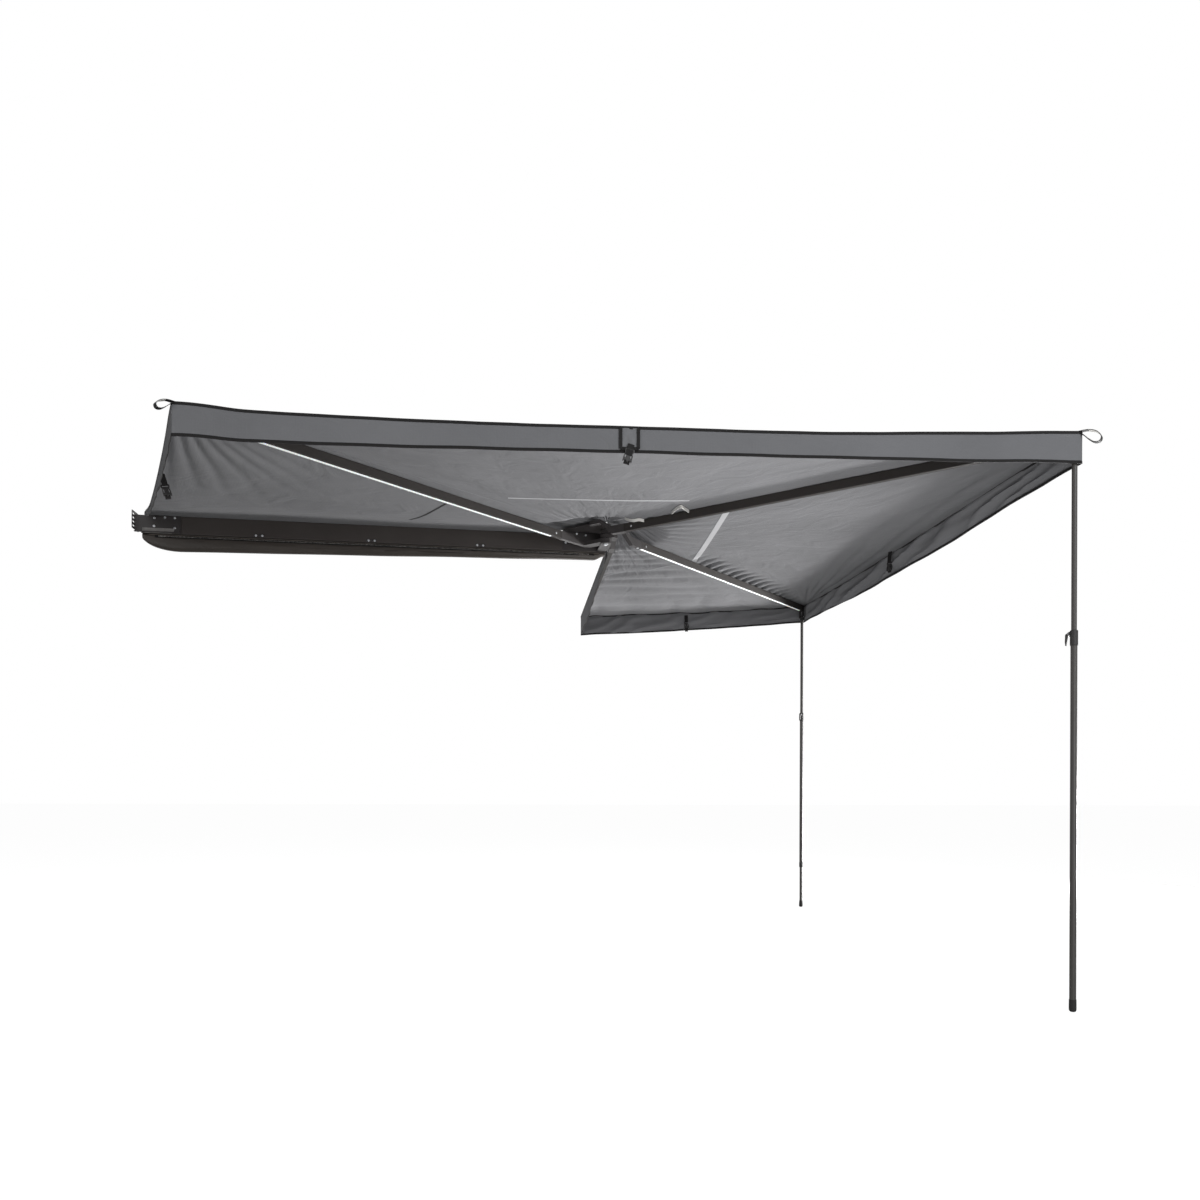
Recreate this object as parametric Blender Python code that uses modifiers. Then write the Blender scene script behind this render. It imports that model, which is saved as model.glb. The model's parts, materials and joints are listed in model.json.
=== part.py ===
# Side awning that swings open around one corner of a vehicle
# Four arms turn about a single upright pin at the right end of a wall rail.
# Two of them carry telescopic legs. Four cloth panels with hanging valances
# span from the rail to the last arm. Metres, +Z up, +Y towards the vehicle.

from math import cos, hypot, pi, radians, sin

import bmesh
import bpy
from mathutils import Matrix, Vector

# Rail
RAIL_LENGTH = 2.36
RAIL_DEPTH = 0.055
RAIL_HEIGHT = 0.090
RAIL_WALL = 0.003
END_CAP_THICK = 0.0025
FIT = 0.0003

# Arms, counted from the rail: opened angle, reach to the cloth corner, level in the knuckle
ARM_WIDTH = 0.025
ARM_HEIGHT = 0.040
ARM_WALL = 0.002
ARM_PITCH = 0.031
ARM_DROP = 0.040
ARMS = {
    "a": {"open": 43.0, "reach": 2.19, "row": 3, "level": 0, "light": 0.275, "leg": False},
    "b": {"open": 136.0, "reach": 2.29, "row": 2, "level": 3, "light": None, "leg": True},
    "c": {"open": 226.0, "reach": 2.30, "row": 1, "level": 2, "light": 0.207, "leg": True},
    "d": {"open": 268.0, "reach": 2.28, "row": 0, "level": 1, "light": None, "leg": False},
}
FIRST_ROW = 0.047
TIP_BACK = 0.0215

# Knuckle
AXIS_IN_FRONT = 0.160
AXIS_FROM_END = 0.020
LEVEL_PITCH = 0.0222
LUG_THICK = 0.0190
LUG_HALF = 0.028
WASHER_THICK = LEVEL_PITCH - LUG_THICK - 2 * FIT
PIN_RADIUS = 0.008
PIN_PLAY = 0.0001
STACK_LOW = -ARM_HEIGHT - 0.0010
CHANNEL_THICK = 0.005
WEB_THICK = 0.003
ROOT_START = 0.034
SLOPE_START = 0.050
TUBE_START = 0.200
SPIGOT_END = 0.290

# Legs
LEG_BACK = 0.028
LEG_PIVOT_DROP = 0.040
UPPER_RADIUS = 0.010
LOWER_RADIUS = 0.012
LEG_WALL = 0.0015
GROUND_DROP = 2.166
COLLAR_RADIUS = 0.0142
COLLAR_HEIGHT = 0.058
LEVER_REACH = 0.0300
LEGS = {
    "b": {"collar": 0.766, "overlap": 0.10, "lower_end": None},
    "c": {"collar": 0.800, "overlap": 0.10, "lower_end": 1.870},
}
BOTTOM_RADIUS = 0.0100
BOTTOM_OVERLAP = 0.09
FOOT_RADIUS = 0.0135
FOOT_HEIGHT = 0.046

# Cloth
CLOTH = 0.0012
HUB_RISE = 0.066
VALANCE = 0.119
EDGE_SAG = 0.028
CLOTH_GAP = 0.0008
RAIL_SLOPE = 0.40
EDGE_BOW = 0.012
SEAM_GAP = 0.0008
HUB_GAP = 0.010
HUB_FOLD = 0.0022
HUB_FOLDS = 5
LAST_EDGE = -0.031

# Wall bracket, clips and bag
CHANNEL_LEFT = -0.215
SLOT_ROWS = 4
BRACKET_OUT = 0.030
BRACKET_PLATE = 0.090
BRACKET_TAB = 0.190
CLIP_FIRST = 0.672
CLIP_SPACING = 0.560
BAG_DEPTH = 0.052
BAG_LOW_LEFT = 0.090
BAG_LOW_RIGHT = 0.039

ARM_TOP = RAIL_HEIGHT / 2 - ARM_DROP
AXIS = Vector((RAIL_LENGTH / 2 - AXIS_FROM_END, -(RAIL_DEPTH + AXIS_IN_FRONT), ARM_TOP))
RAIL_FRONT = AXIS_IN_FRONT
RAIL_TOP = RAIL_HEIGHT / 2 - ARM_TOP
RAIL_LOW = -RAIL_HEIGHT / 2 - ARM_TOP
RAIL_LEFT = -RAIL_LENGTH / 2 - AXIS.x
RAIL_RIGHT = RAIL_LENGTH / 2 - AXIS.x
STACK_TOP = STACK_LOW + 4 * LEVEL_PITCH
SEGMENTS = 24

for old in list(bpy.data.objects):
    bpy.data.objects.remove(old)

awning = bpy.data.collections.new("side_awning")
bpy.context.scene.collection.children.link(awning)
cutters = bpy.data.collections.new("cutters")
bpy.context.scene.collection.children.link(cutters)


# Materials
def make_material(name, color, roughness, metallic):
    mat = bpy.data.materials.new(name)
    mat.use_nodes = True
    shader = mat.node_tree.nodes["Principled BSDF"]
    shader.inputs["Base Color"].default_value = (*color, 1.0)
    shader.inputs["Roughness"].default_value = roughness
    shader.inputs["Metallic"].default_value = metallic
    mat.diffuse_color = (*color, 1.0)
    return mat


BLACK_ALLOY = make_material("black_alloy", (0.024, 0.021, 0.021), 0.45, 0.0)
BLACK_STEEL = make_material("black_steel", (0.020, 0.018, 0.018), 0.50, 0.0)
BRIGHT_STEEL = make_material("bright_steel", (0.55, 0.55, 0.55), 0.30, 1.0)
DARK_ALLOY = make_material("dark_alloy", (0.045, 0.043, 0.042), 0.38, 0.6)
BLACK_PLASTIC = make_material("black_plastic", (0.012, 0.012, 0.012), 0.45, 0.0)
BLACK_RUBBER = make_material("black_rubber", (0.010, 0.010, 0.010), 0.80, 0.0)
LIGHT_LENS = make_material("light_lens", (0.83, 0.83, 0.83), 0.35, 0.0)
GREY_CLOTH = make_material("grey_cloth", (0.24, 0.24, 0.25), 0.90, 0.0)
DARK_CLOTH = make_material("dark_cloth", (0.030, 0.027, 0.025), 0.85, 0.0)


# Solids from outlines
def circle(radius, center=(0.0, 0.0), segments=SEGMENTS):
    step = 2 * pi / segments
    return [(center[0] + radius * cos(step * (i + 0.5)), center[1] + radius * sin(step * (i + 0.5)))
            for i in range(segments)]


def rectangle(left, low, right, high):
    return [(left, low), (right, low), (right, high), (left, high)]


def arc(radius, first, last, step=15):
    return [(radius * cos(radians(t)), radius * sin(radians(t))) for t in range(first, last + 1, step)]


def rounded(left, low, right, high, radius, steps=4):
    centers = ((right - radius, low + radius, -90), (right - radius, high - radius, 0),
               (left + radius, high - radius, 90), (left + radius, low + radius, 180))
    points = []
    for x, y, start in centers:
        for i in range(steps + 1):
            turn = radians(start + 90 * i / steps)
            points.append((x + radius * cos(turn), y + radius * sin(turn)))
    return points


def slot(center, length, width, steps=5):
    half = (length - width) / 2
    points = []
    for side, start in ((1, -90), (-1, 90)):
        for i in range(steps + 1):
            turn = radians(start + 180 * i / steps)
            points.append((center[0] + side * half + width / 2 * cos(turn), center[1] + width / 2 * sin(turn)))
    return points


def add_object(name, data, material, parent, location=(0.0, 0.0, 0.0), rotation=(0.0, 0.0, 0.0)):
    data.name = name
    data.materials.clear()
    data.materials.append(material)
    obj = bpy.data.objects.new(name, data)
    awning.objects.link(obj)
    obj.parent = parent
    obj.location = location
    obj.rotation_euler = rotation
    return obj


def outline(name, loops, low, high, plane="xy", material=None, parent=None):
    """A flat outline, holes included, with thickness from low to high square to its plane."""
    curve = bpy.data.curves.new(name, "CURVE")
    curve.dimensions = "2D"
    curve.fill_mode = "BOTH"
    curve.extrude = (high - low) / 2
    for loop in loops:
        spline = curve.splines.new("POLY")
        spline.points.add(len(loop) - 1)
        for point, (x, y) in zip(spline.points, loop):
            point.co = (x, y, 0.0, 1.0)
        spline.use_cyclic_u = True
    middle = (high + low) / 2
    location = {"xy": (0, 0, middle), "xz": (0, middle, 0), "yz": (middle, 0, 0)}[plane]
    rotation = {"xy": (0, 0, 0), "xz": (pi / 2, 0, 0), "yz": (pi / 2, 0, pi / 2)}[plane]
    return add_object(name, curve, material or BLACK_STEEL, parent, location, rotation)


def as_mesh(obj):
    """A curve takes no Boolean, so a piece that is cut or joined becomes a mesh first."""
    bpy.context.view_layer.update()
    graph = bpy.context.evaluated_depsgraph_get()
    mesh = bpy.data.meshes.new_from_object(obj.evaluated_get(graph))
    bm = bmesh.new()
    bm.from_mesh(mesh)
    bmesh.ops.remove_doubles(bm, verts=bm.verts, dist=0.000002)
    bm.to_mesh(mesh)
    bm.free()
    name = obj.name
    curve = obj.data
    solid = add_object(name + "_solid", mesh, curve.materials[0], obj.parent, obj.location, obj.rotation_euler)
    bpy.data.objects.remove(obj)
    bpy.data.curves.remove(curve)
    solid.name = name
    return solid


def box(name, low, high, material=None, parent=None):
    bm = bmesh.new()
    bmesh.ops.create_cube(bm, size=1.0)
    size = [b - a for a, b in zip(low, high)]
    bmesh.ops.scale(bm, vec=size, verts=bm.verts)
    mesh = bpy.data.meshes.new(name)
    bm.to_mesh(mesh)
    bm.free()
    middle = [(a + b) / 2 for a, b in zip(low, high)]
    return add_object(name, mesh, material or BLACK_STEEL, parent, middle)


def bar(name, radius, length, middle, material=None, parent=None, rotation=(0.0, 0.0, 0.0), segments=24):
    """A round bar about its middle, along its own Z."""
    bm = bmesh.new()
    bmesh.ops.create_cone(bm, cap_ends=True, segments=segments, radius1=radius, radius2=radius, depth=length)
    mesh = bpy.data.meshes.new(name)
    bm.to_mesh(mesh)
    bm.free()
    return add_object(name, mesh, material or BLACK_STEEL, parent, middle, rotation)


def turned(name, profile, material, parent, segments=SEGMENTS, location=(0.0, 0.0, 0.0), rotation=(0.0, 0.0, 0.0)):
    """Turn a profile of (radius, height) points about its own Z with a Screw."""
    area = sum(a[0] * b[1] - b[0] * a[1] for a, b in zip(profile, profile[1:] + profile[:1]))
    points = profile[::-1] if area > 0 else profile
    closed = all(radius > 0 for radius, height in points)
    edges = [(i, i + 1) for i in range(len(points) - 1)]
    if closed:
        edges.append((len(points) - 1, 0))
    else:
        while points[0][0] > 0 or points[-1][0] > 0:
            points = points[1:] + points[:1]
    mesh = bpy.data.meshes.new(name)
    mesh.from_pydata([(radius, 0.0, height) for radius, height in points], edges, [])
    obj = add_object(name, mesh, material, parent, location, rotation)
    screw = obj.modifiers.new("turn", "SCREW")
    screw.axis = "Z"
    screw.angle = 2 * pi
    screw.steps = segments
    screw.render_steps = segments
    screw.use_merge_vertices = True
    screw.merge_threshold = 0.00001
    return obj


def combine(target, other, operation):
    """Join the other solid to the target, or cut it away, with a Boolean."""
    if other.name not in cutters.objects:
        awning.objects.unlink(other)
        cutters.objects.link(other)
        other.hide_render = True
        other.display_type = "WIRE"
    mod = target.modifiers.new(operation.lower() + "_" + other.name, "BOOLEAN")
    mod.operation = operation
    mod.solver = "EXACT"
    mod.object = other


def hollow_section(name, width, height, wall, start, end, parent, material, middle):
    y, z = middle
    outer = rounded(y - width / 2, z - height / 2, y + width / 2, z + height / 2, 0.0025, 3)
    inner = rectangle(y - width / 2 + wall, z - height / 2 + wall, y + width / 2 - wall, z + height / 2 - wall)
    return outline(name, [outer, inner], start, end, "yz", material, parent)


def pivot(name, location, turn=0.0, parent=None):
    empty = bpy.data.objects.new(name, None)
    awning.objects.link(empty)
    empty.location = location
    empty.rotation_euler = (0.0, 0.0, turn)
    empty.parent = parent
    return empty


# Wall rail: everything on it is placed from the knuckle axis at the top of the arms
root = pivot("knuckle_axis", AXIS)
rail_mid = (RAIL_FRONT + RAIL_DEPTH / 2, (RAIL_TOP + RAIL_LOW) / 2)
hollow_section("mounting_rail", RAIL_DEPTH, RAIL_HEIGHT, RAIL_WALL, RAIL_LEFT + END_CAP_THICK + FIT,
               RAIL_RIGHT - END_CAP_THICK - FIT, root, BLACK_ALLOY, rail_mid)

for side, end, inward in (("left", RAIL_LEFT, 1), ("right", RAIL_RIGHT, -1)):
    face = rounded(RAIL_FRONT, RAIL_LOW, RAIL_FRONT + RAIL_DEPTH, RAIL_TOP, 0.0025, 3)
    span = sorted((end, end + inward * END_CAP_THICK))
    cap = as_mesh(outline("rail_end_cap_" + side, [face], *span, "yz", BLACK_PLASTIC, root))
    edge = RAIL_WALL + FIT
    span = sorted((end + inward * 0.001, end + inward * 0.018))
    plug = box("rail_plug_" + side, (span[0], RAIL_FRONT + edge, RAIL_LOW + edge),
               (span[1], RAIL_FRONT + RAIL_DEPTH - edge, RAIL_TOP - edge), BLACK_PLASTIC, root)
    combine(cap, plug, "UNION")

# Slotted wall bracket at the left end: a tab with a folded lip on the rail face, and a slotted plate welded across it
tab_face = RAIL_FRONT - FIT - WEB_THICK
tab_left = RAIL_LEFT - BRACKET_OUT
tab_right = tab_left + BRACKET_OUT + BRACKET_TAB
tab_low = RAIL_LOW + 0.006
bracket = box("mount_bracket", (tab_left, tab_face, tab_low), (tab_right, RAIL_FRONT - FIT, RAIL_TOP - 0.001),
              BLACK_STEEL, root)
plate_high = RAIL_TOP + 0.015
plate_low = plate_high - BRACKET_PLATE
plate_back = RAIL_FRONT + RAIL_DEPTH
plate_front = plate_back - BRACKET_PLATE
loops = [rounded(plate_front, plate_low, plate_back, plate_high, 0.004, 3)]
for row in range(SLOT_ROWS):
    height = plate_low + BRACKET_PLATE * (row + 0.75) / (SLOT_ROWS + 0.5)
    for middle in (plate_front + 0.020, plate_back - 0.0215):
        loops.append(slot((middle, height), 0.027, 0.0085))
outline("bracket_plate", loops, tab_left - WEB_THICK, tab_left - FIT, "yz", BLACK_STEEL, root)
lip = box("bracket_lip", (tab_left, tab_face - 0.010, tab_low - 0.0030),
          (tab_right - 0.004, tab_face + 0.0015, tab_low + 0.0004), BLACK_STEEL, root)
combine(bracket, lip, "UNION")

# Knuckle channel: a wide web on the rail face, a wide roof over the stack and a tongue under it
roof = STACK_TOP + FIT
floor = STACK_LOW - FIT
web_right = RAIL_RIGHT - 0.004
channel = box("knuckle_channel", (CHANNEL_LEFT, tab_face, floor - CHANNEL_THICK),
              (web_right, RAIL_FRONT - FIT, roof + CHANNEL_THICK), BLACK_STEEL, root)
back = tab_face + 0.001
nose = arc(LUG_HALF, -150, 0)
roof_loop = [(CHANNEL_LEFT + 0.0004, back), (CHANNEL_LEFT + 0.0004, 0.105), (-0.090, -0.012)] + nose
roof_loop += [(LUG_HALF, 0.115), (web_right - 0.0004, back)]
roof_plate = as_mesh(outline("knuckle_roof", [roof_loop, circle(PIN_RADIUS + FIT)], roof,
                             roof + CHANNEL_THICK - 0.0002, "xy", BLACK_STEEL, root))
combine(channel, roof_plate, "UNION")
tongue_loop = arc(LUG_HALF, -180, 0) + [(LUG_HALF, 0.115), (web_right - 0.0004, back), (-LUG_HALF, back)]
tongue = as_mesh(outline("knuckle_tongue", [tongue_loop, circle(PIN_RADIUS + FIT)],
                         floor - CHANNEL_THICK + 0.0002, floor, "xy", BLACK_STEEL, root))
combine(channel, tongue, "UNION")

# Strap clips along the lower edge of the rail
clip_z = RAIL_LOW + 0.0095
for i in range(3):
    middle = RAIL_RIGHT - CLIP_FIRST - CLIP_SPACING * i
    box("strap_clip_" + str(i + 1), (middle - 0.026, RAIL_FRONT - FIT - 0.002, clip_z - 0.008),
        (middle + 0.026, RAIL_FRONT - FIT, clip_z + 0.008), BLACK_STEEL, root)

# Knuckle pin with its low round head below and a nut above
pin_low = floor - CHANNEL_THICK - FIT
pin_high = roof + CHANNEL_THICK + 0.0095
turned("knuckle_pin", [(0.0, pin_low - 0.006), (0.009, pin_low - 0.006), (0.013, pin_low - 0.0035), (0.013, pin_low),
                       (PIN_RADIUS, pin_low), (PIN_RADIUS, pin_high), (0.0, pin_high)], BRIGHT_STEEL, root, 48)
nut_low = roof + CHANNEL_THICK + FIT
outline("knuckle_nut", [circle(0.0138, segments=6), circle(PIN_RADIUS + FIT)], nut_low, nut_low + 0.008,
        "xy", BRIGHT_STEEL, root)
for level in range(1, 4):
    low = STACK_LOW + LEVEL_PITCH * level - WASHER_THICK / 2
    outline("knuckle_washer_" + str(level), [circle(0.018), circle(PIN_RADIUS + FIT)], low, low + WASHER_THICK,
            "xy", BRIGHT_STEEL, root)


# Arms
def row_offset(arm):
    return -(FIRST_ROW + ARM_PITCH * arm["row"])


def make_arm(key):
    arm = ARMS[key]
    e = row_offset(arm)
    joint = pivot("arm_" + key + "_axis", (0, 0, 0), radians(180 + arm["open"]), root)
    low = STACK_LOW + LEVEL_PITCH * arm["level"] + (LEVEL_PITCH - LUG_THICK) / 2
    high = low + LUG_THICK
    half = ARM_WIDTH / 2

    # Cranked lug: an eye on the pin, then straight out sideways to the row of its arm
    corner = e - half
    lug_loop = arc(LUG_HALF, 0, 180) + [(-LUG_HALF, corner + 0.018), (-LUG_HALF + 0.018, corner),
                                        (ROOT_START + 0.012, corner), (ROOT_START + 0.012, e + half),
                                        (LUG_HALF + 0.002, e + half), (LUG_HALF, e + half + 0.002)]
    lug = as_mesh(outline("arm_" + key + "_bracket", [lug_loop, circle(PIN_RADIUS + PIN_PLAY, segments=48)],
                          low, high, "xy", BLACK_STEEL, joint))

    # Root: slopes from the height of the lug to the full height of the tube
    slope = SLOPE_START + 0.070
    side = [(ROOT_START, low + 0.0002), (SLOPE_START, low + 0.0002), (slope, -ARM_HEIGHT),
            (TUBE_START - FIT, -ARM_HEIGHT), (TUBE_START - FIT, 0.0), (slope, 0.0), (SLOPE_START, high - 0.0002),
            (ROOT_START, high - 0.0002)]
    block = as_mesh(outline("root_" + key, [side], e - half + 0.0001, e + half - 0.0001, "xz", BLACK_STEEL, joint))
    inside = ARM_WALL + FIT
    spigot = box("spigot_" + key, (TUBE_START - 0.004, e - half + inside, -ARM_HEIGHT + inside),
                 (SPIGOT_END, e + half - inside, -inside), BLACK_STEEL, joint)
    combine(lug, block, "UNION")
    combine(lug, spigot, "UNION")

    tip = arm["reach"] - TIP_BACK
    tube_end = tip if arm["leg"] else tip - 0.002 - FIT
    tube = as_mesh(hollow_section("arm_" + key + "_tube", ARM_WIDTH, ARM_HEIGHT, ARM_WALL, TUBE_START, tube_end,
                                  joint, BLACK_ALLOY, (e, -ARM_HEIGHT / 2)))

    # One through bolt holds the tube on its spigot
    bolt_s = TUBE_START + 0.045
    across = (pi / 2, 0, 0)
    hole = bar("bolt_hole_" + key, 0.0028, 0.06, (bolt_s, e, -ARM_HEIGHT / 2), None, joint, across, 16)
    combine(lug, hole, "DIFFERENCE")
    combine(tube, hole, "DIFFERENCE")
    out = half + FIT
    turned("arm_" + key + "_bolt", [(0.0, -out - 0.0012), (0.0036, -out - 0.0012), (0.0050, -out), (0.0025, -out),
                                    (0.0025, out), (0.0050, out), (0.0036, out + 0.0012), (0.0, out + 0.0012)],
           BRIGHT_STEEL, joint, 16, (bolt_s, e, -ARM_HEIGHT / 2), across)

    if arm["leg"]:
        make_leg(key, arm, e, joint)
    else:
        face = rounded(e - half, -ARM_HEIGHT, e + half, 0.0, 0.0025, 3)
        cap = as_mesh(outline("arm_" + key + "_end_cap", [face], tip - 0.002, tip, "yz", BLACK_PLASTIC, joint))
        plug = box("arm_plug_" + key, (tip - 0.020, e - half + inside, -ARM_HEIGHT + inside),
                   (tip - 0.001, e + half - inside, -inside), BLACK_PLASTIC, joint)
        combine(cap, plug, "UNION")
    if arm["light"]:
        base = -ARM_HEIGHT - FIT
        section = [(e - 0.0060, base), (e - 0.0048, base - 0.0028), (e + 0.0048, base - 0.0028), (e + 0.0060, base)]
        last = arm["reach"] - (0.075 if arm["leg"] else 0.045)
        outline("arm_" + key + "_light", [section], arm["light"], last, "yz", LIGHT_LENS, joint)


# Legs
def make_leg(key, arm, e, joint):
    leg = LEGS[key]
    s = arm["reach"] - LEG_BACK
    base = -ARM_HEIGHT - FIT
    gap = UPPER_RADIUS + 0.0003
    side = gap + 0.0023
    depth = LEG_PIVOT_DROP + 0.010
    across = (pi / 2, 0, 0)

    # Fork under the tip of the arm
    fork_loop = [(e - side, base), (e - side, base - depth), (e - gap, base - depth), (e - gap, base - 0.003),
                 (e + gap, base - 0.003), (e + gap, base - depth), (e + side, base - depth), (e + side, base)]
    fork = as_mesh(outline("arm_" + key + "_fork", [fork_loop], s - 0.022, arm["reach"] - TIP_BACK - 0.0005, "yz",
                           BLACK_STEEL, joint))
    drop = -ARM_HEIGHT - LEG_PIVOT_DROP
    pin_hole = bar("fork_hole_" + key, 0.0040 + FIT, 0.06, (s, e, drop), None, joint, across)
    combine(fork, pin_hole, "DIFFERENCE")

    # Everything below swings about the fork pin
    fold = pivot("leg_" + key + "_pivot", (s, e, drop), 0.0, joint)
    out = side + 0.0003
    turned("leg_" + key + "_pin", [(0.0, -out - 0.0013), (0.0052, -out - 0.0013), (0.0062, -out), (0.0040, -out),
                                   (0.0040, out), (0.0062, out), (0.0052, out + 0.0013), (0.0, out + 0.0013)],
           BRIGHT_STEEL, fold, 24, (0, 0, 0), across)
    head_half = UPPER_RADIUS - 0.0002
    head_loop = arc(0.0098, 0, 180) + [(-0.0098, -0.026), (0.0098, -0.026)]
    head = as_mesh(outline("leg_" + key + "_head", [head_loop, circle(0.0040 + PIN_PLAY, segments=24)], -head_half,
                           head_half, "xz", BLACK_PLASTIC, fold))
    plug = bar("head_plug_" + key, UPPER_RADIUS - LEG_WALL - FIT, 0.036, (0, 0, -0.042), None, fold)
    combine(head, plug, "UNION")

    lift = ARM_HEIGHT + LEG_PIVOT_DROP
    collar_mid = lift - leg["collar"]
    collar_top = collar_mid + COLLAR_HEIGHT / 2
    collar_low = collar_mid - COLLAR_HEIGHT / 2
    lower_top = collar_mid + 0.004
    upper_low = collar_mid - leg["overlap"]
    ground = lift - GROUND_DROP
    round_tube("leg_" + key + "_upper_tube", UPPER_RADIUS, upper_low, -0.026 - FIT, fold)

    # Clamp collar on the top of the outer tube, with ears for its lever
    bore = UPPER_RADIUS + FIT
    seat = LOWER_RADIUS + FIT
    collar = turned("leg_" + key + "_collar", [(COLLAR_RADIUS - 0.0008, collar_low), (COLLAR_RADIUS, collar_low + 0.002),
                                               (COLLAR_RADIUS, collar_top - 0.003), (COLLAR_RADIUS - 0.002, collar_top),
                                               (bore, collar_top), (bore, lower_top + FIT), (seat, lower_top + FIT),
                                               (seat, collar_low)], BLACK_PLASTIC, fold)
    hinge_z = collar_top - 0.014
    hinge_s = -COLLAR_RADIUS - 0.0052
    root_s = -COLLAR_RADIUS + 0.0022
    ear = [(root_s, hinge_z - 0.010), (hinge_s - 0.002, hinge_z - 0.005), (hinge_s - 0.0050, hinge_z),
           (hinge_s - 0.002, hinge_z + 0.005), (root_s, hinge_z + 0.010)]
    for number, span in enumerate(((-0.0079, -0.0049), (0.0049, 0.0079))):
        plate = as_mesh(outline("ear_" + key + str(number), [ear], *span, "xz", BLACK_PLASTIC, fold))
        combine(collar, plate, "UNION")
    pin_hole = bar("lever_hole_" + key, 0.0018, 0.024, (hinge_s, 0, hinge_z), None, fold, across, 16)
    combine(collar, pin_hole, "DIFFERENCE")
    bar("leg_" + key + "_lever_pin", 0.0015, 0.0158, (hinge_s, 0, hinge_z), BRIGHT_STEEL, fold, across, 16)
    swing = pivot("leg_" + key + "_lever_axis", (hinge_s, 0.0, hinge_z), 0.0, fold)
    reach = -LEVER_REACH - hinge_s
    lever_loop = [(0.0042, 0.0022), (0.0022, 0.0042), (-0.0022, 0.0046), (reach, -0.001), (reach - 0.001, -0.030),
                  (reach + 0.0010, -0.043), (reach + 0.0036, -0.043), (reach + 0.0052, -0.030), (-0.0010, -0.0082),
                  (0.0040, -0.0030)]
    outline("leg_" + key + "_lever", [lever_loop, circle(0.0016, segments=16)], -0.0046, 0.0046, "xz",
            BLACK_PLASTIC, swing)

    lower_end = ground + FOOT_HEIGHT - 0.018
    stem = LOWER_RADIUS
    if leg["lower_end"]:
        # A third section slides inside the outer tube, guided by a ferrule
        lower_end = lift - leg["lower_end"]
        stem = BOTTOM_RADIUS
        outer = LOWER_RADIUS + 0.0014
        turned("leg_" + key + "_ferrule", [(bore, lower_end - 0.010), (outer, lower_end - 0.010),
                                           (outer, lower_end + 0.022), (seat, lower_end + 0.022),
                                           (seat, lower_end - FIT), (bore, lower_end - FIT)], BLACK_PLASTIC, fold)
        round_tube("leg_" + key + "_bottom_tube", BOTTOM_RADIUS, ground + FOOT_HEIGHT - 0.018,
                   lower_end + BOTTOM_OVERLAP, fold)
    round_tube("leg_" + key + "_lower_tube", LOWER_RADIUS, lower_end, lower_top, fold)
    cup = ground + FOOT_HEIGHT - 0.018 - FIT
    turned("leg_" + key + "_foot", [(0.0, ground), (FOOT_RADIUS * 0.62, ground),
                                    (FOOT_RADIUS * 0.88, ground + 0.003), (FOOT_RADIUS, ground + 0.009),
                                    (FOOT_RADIUS, ground + 0.022), (stem + 0.0012, ground + FOOT_HEIGHT),
                                    (stem + FIT, ground + FOOT_HEIGHT), (stem + FIT, cup), (0.0, cup)],
           BLACK_RUBBER, fold)


def round_tube(name, radius, low, high, parent):
    outline(name, [circle(radius), circle(radius - LEG_WALL)], low, high, "xy", DARK_ALLOY, parent)


for key in ARMS:
    make_arm(key)


# Cloth
def smooth(value):
    value = min(max(value, 0.0), 1.0)
    return value * value * (3 - 2 * value)


def lerp(a, b, t):
    return a + (b - a) * t


def arm_point(key, s, e):
    turn = radians(180 + ARMS[key]["open"])
    return (s * cos(turn) - e * sin(turn), s * sin(turn) + e * cos(turn))


def tent(x, y):
    """The cloth rises over the knuckle: height by the distance from the roof of the channel."""
    ridge = (-0.12, 0.090)
    along = min(max((x * ridge[0] + y * ridge[1]) / (ridge[0] ** 2 + ridge[1] ** 2), 0.0), 1.0)
    away = hypot(x - ridge[0] * along, y - ridge[1] * along)
    return CLOTH_GAP + (HUB_RISE - CLOTH_GAP) * (1 - smooth((away - 0.14) / 0.20))


def seam(key, u):
    """A seam runs straight from the hub to the corner at the tip of its arm."""
    reach = ARMS[key]["reach"]
    s = lerp(HUB_GAP, reach, u)
    if key == "d":
        e = LAST_EDGE * smooth(s / 0.12)
        return arm_point(key, s, e)
    x, y = arm_point(key, reach, row_offset(ARMS[key]))
    return (x * s / reach, y * s / reach)


def rail_edge(u):
    return (lerp(-0.022, RAIL_LEFT + 0.006, u), RAIL_FRONT + 0.022)


PANELS = (("rail", "a", 0.010, 0.014), ("a", "b", EDGE_BOW, EDGE_SAG), ("b", "c", EDGE_BOW, EDGE_SAG),
          ("c", "d", EDGE_BOW / 2, EDGE_SAG / 2))


def edge_point(first, second, bow, t, u):
    """A point of a panel, from one seam to the next and from the hub out, before its height."""
    start = rail_edge(u) if first == "rail" else seam(first, u)
    end = seam(second, u)
    x = lerp(start[0], end[0], t)
    y = lerp(start[1], end[1], t)
    pull = 1 - bow * 4 * t * (1 - t) * u ** 4
    middle = (0.0, RAIL_FRONT) if first == "rail" else (0.0, 0.0)
    return (middle[0] + (x - middle[0]) * pull, middle[1] + (y - middle[1]) * pull)


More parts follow.
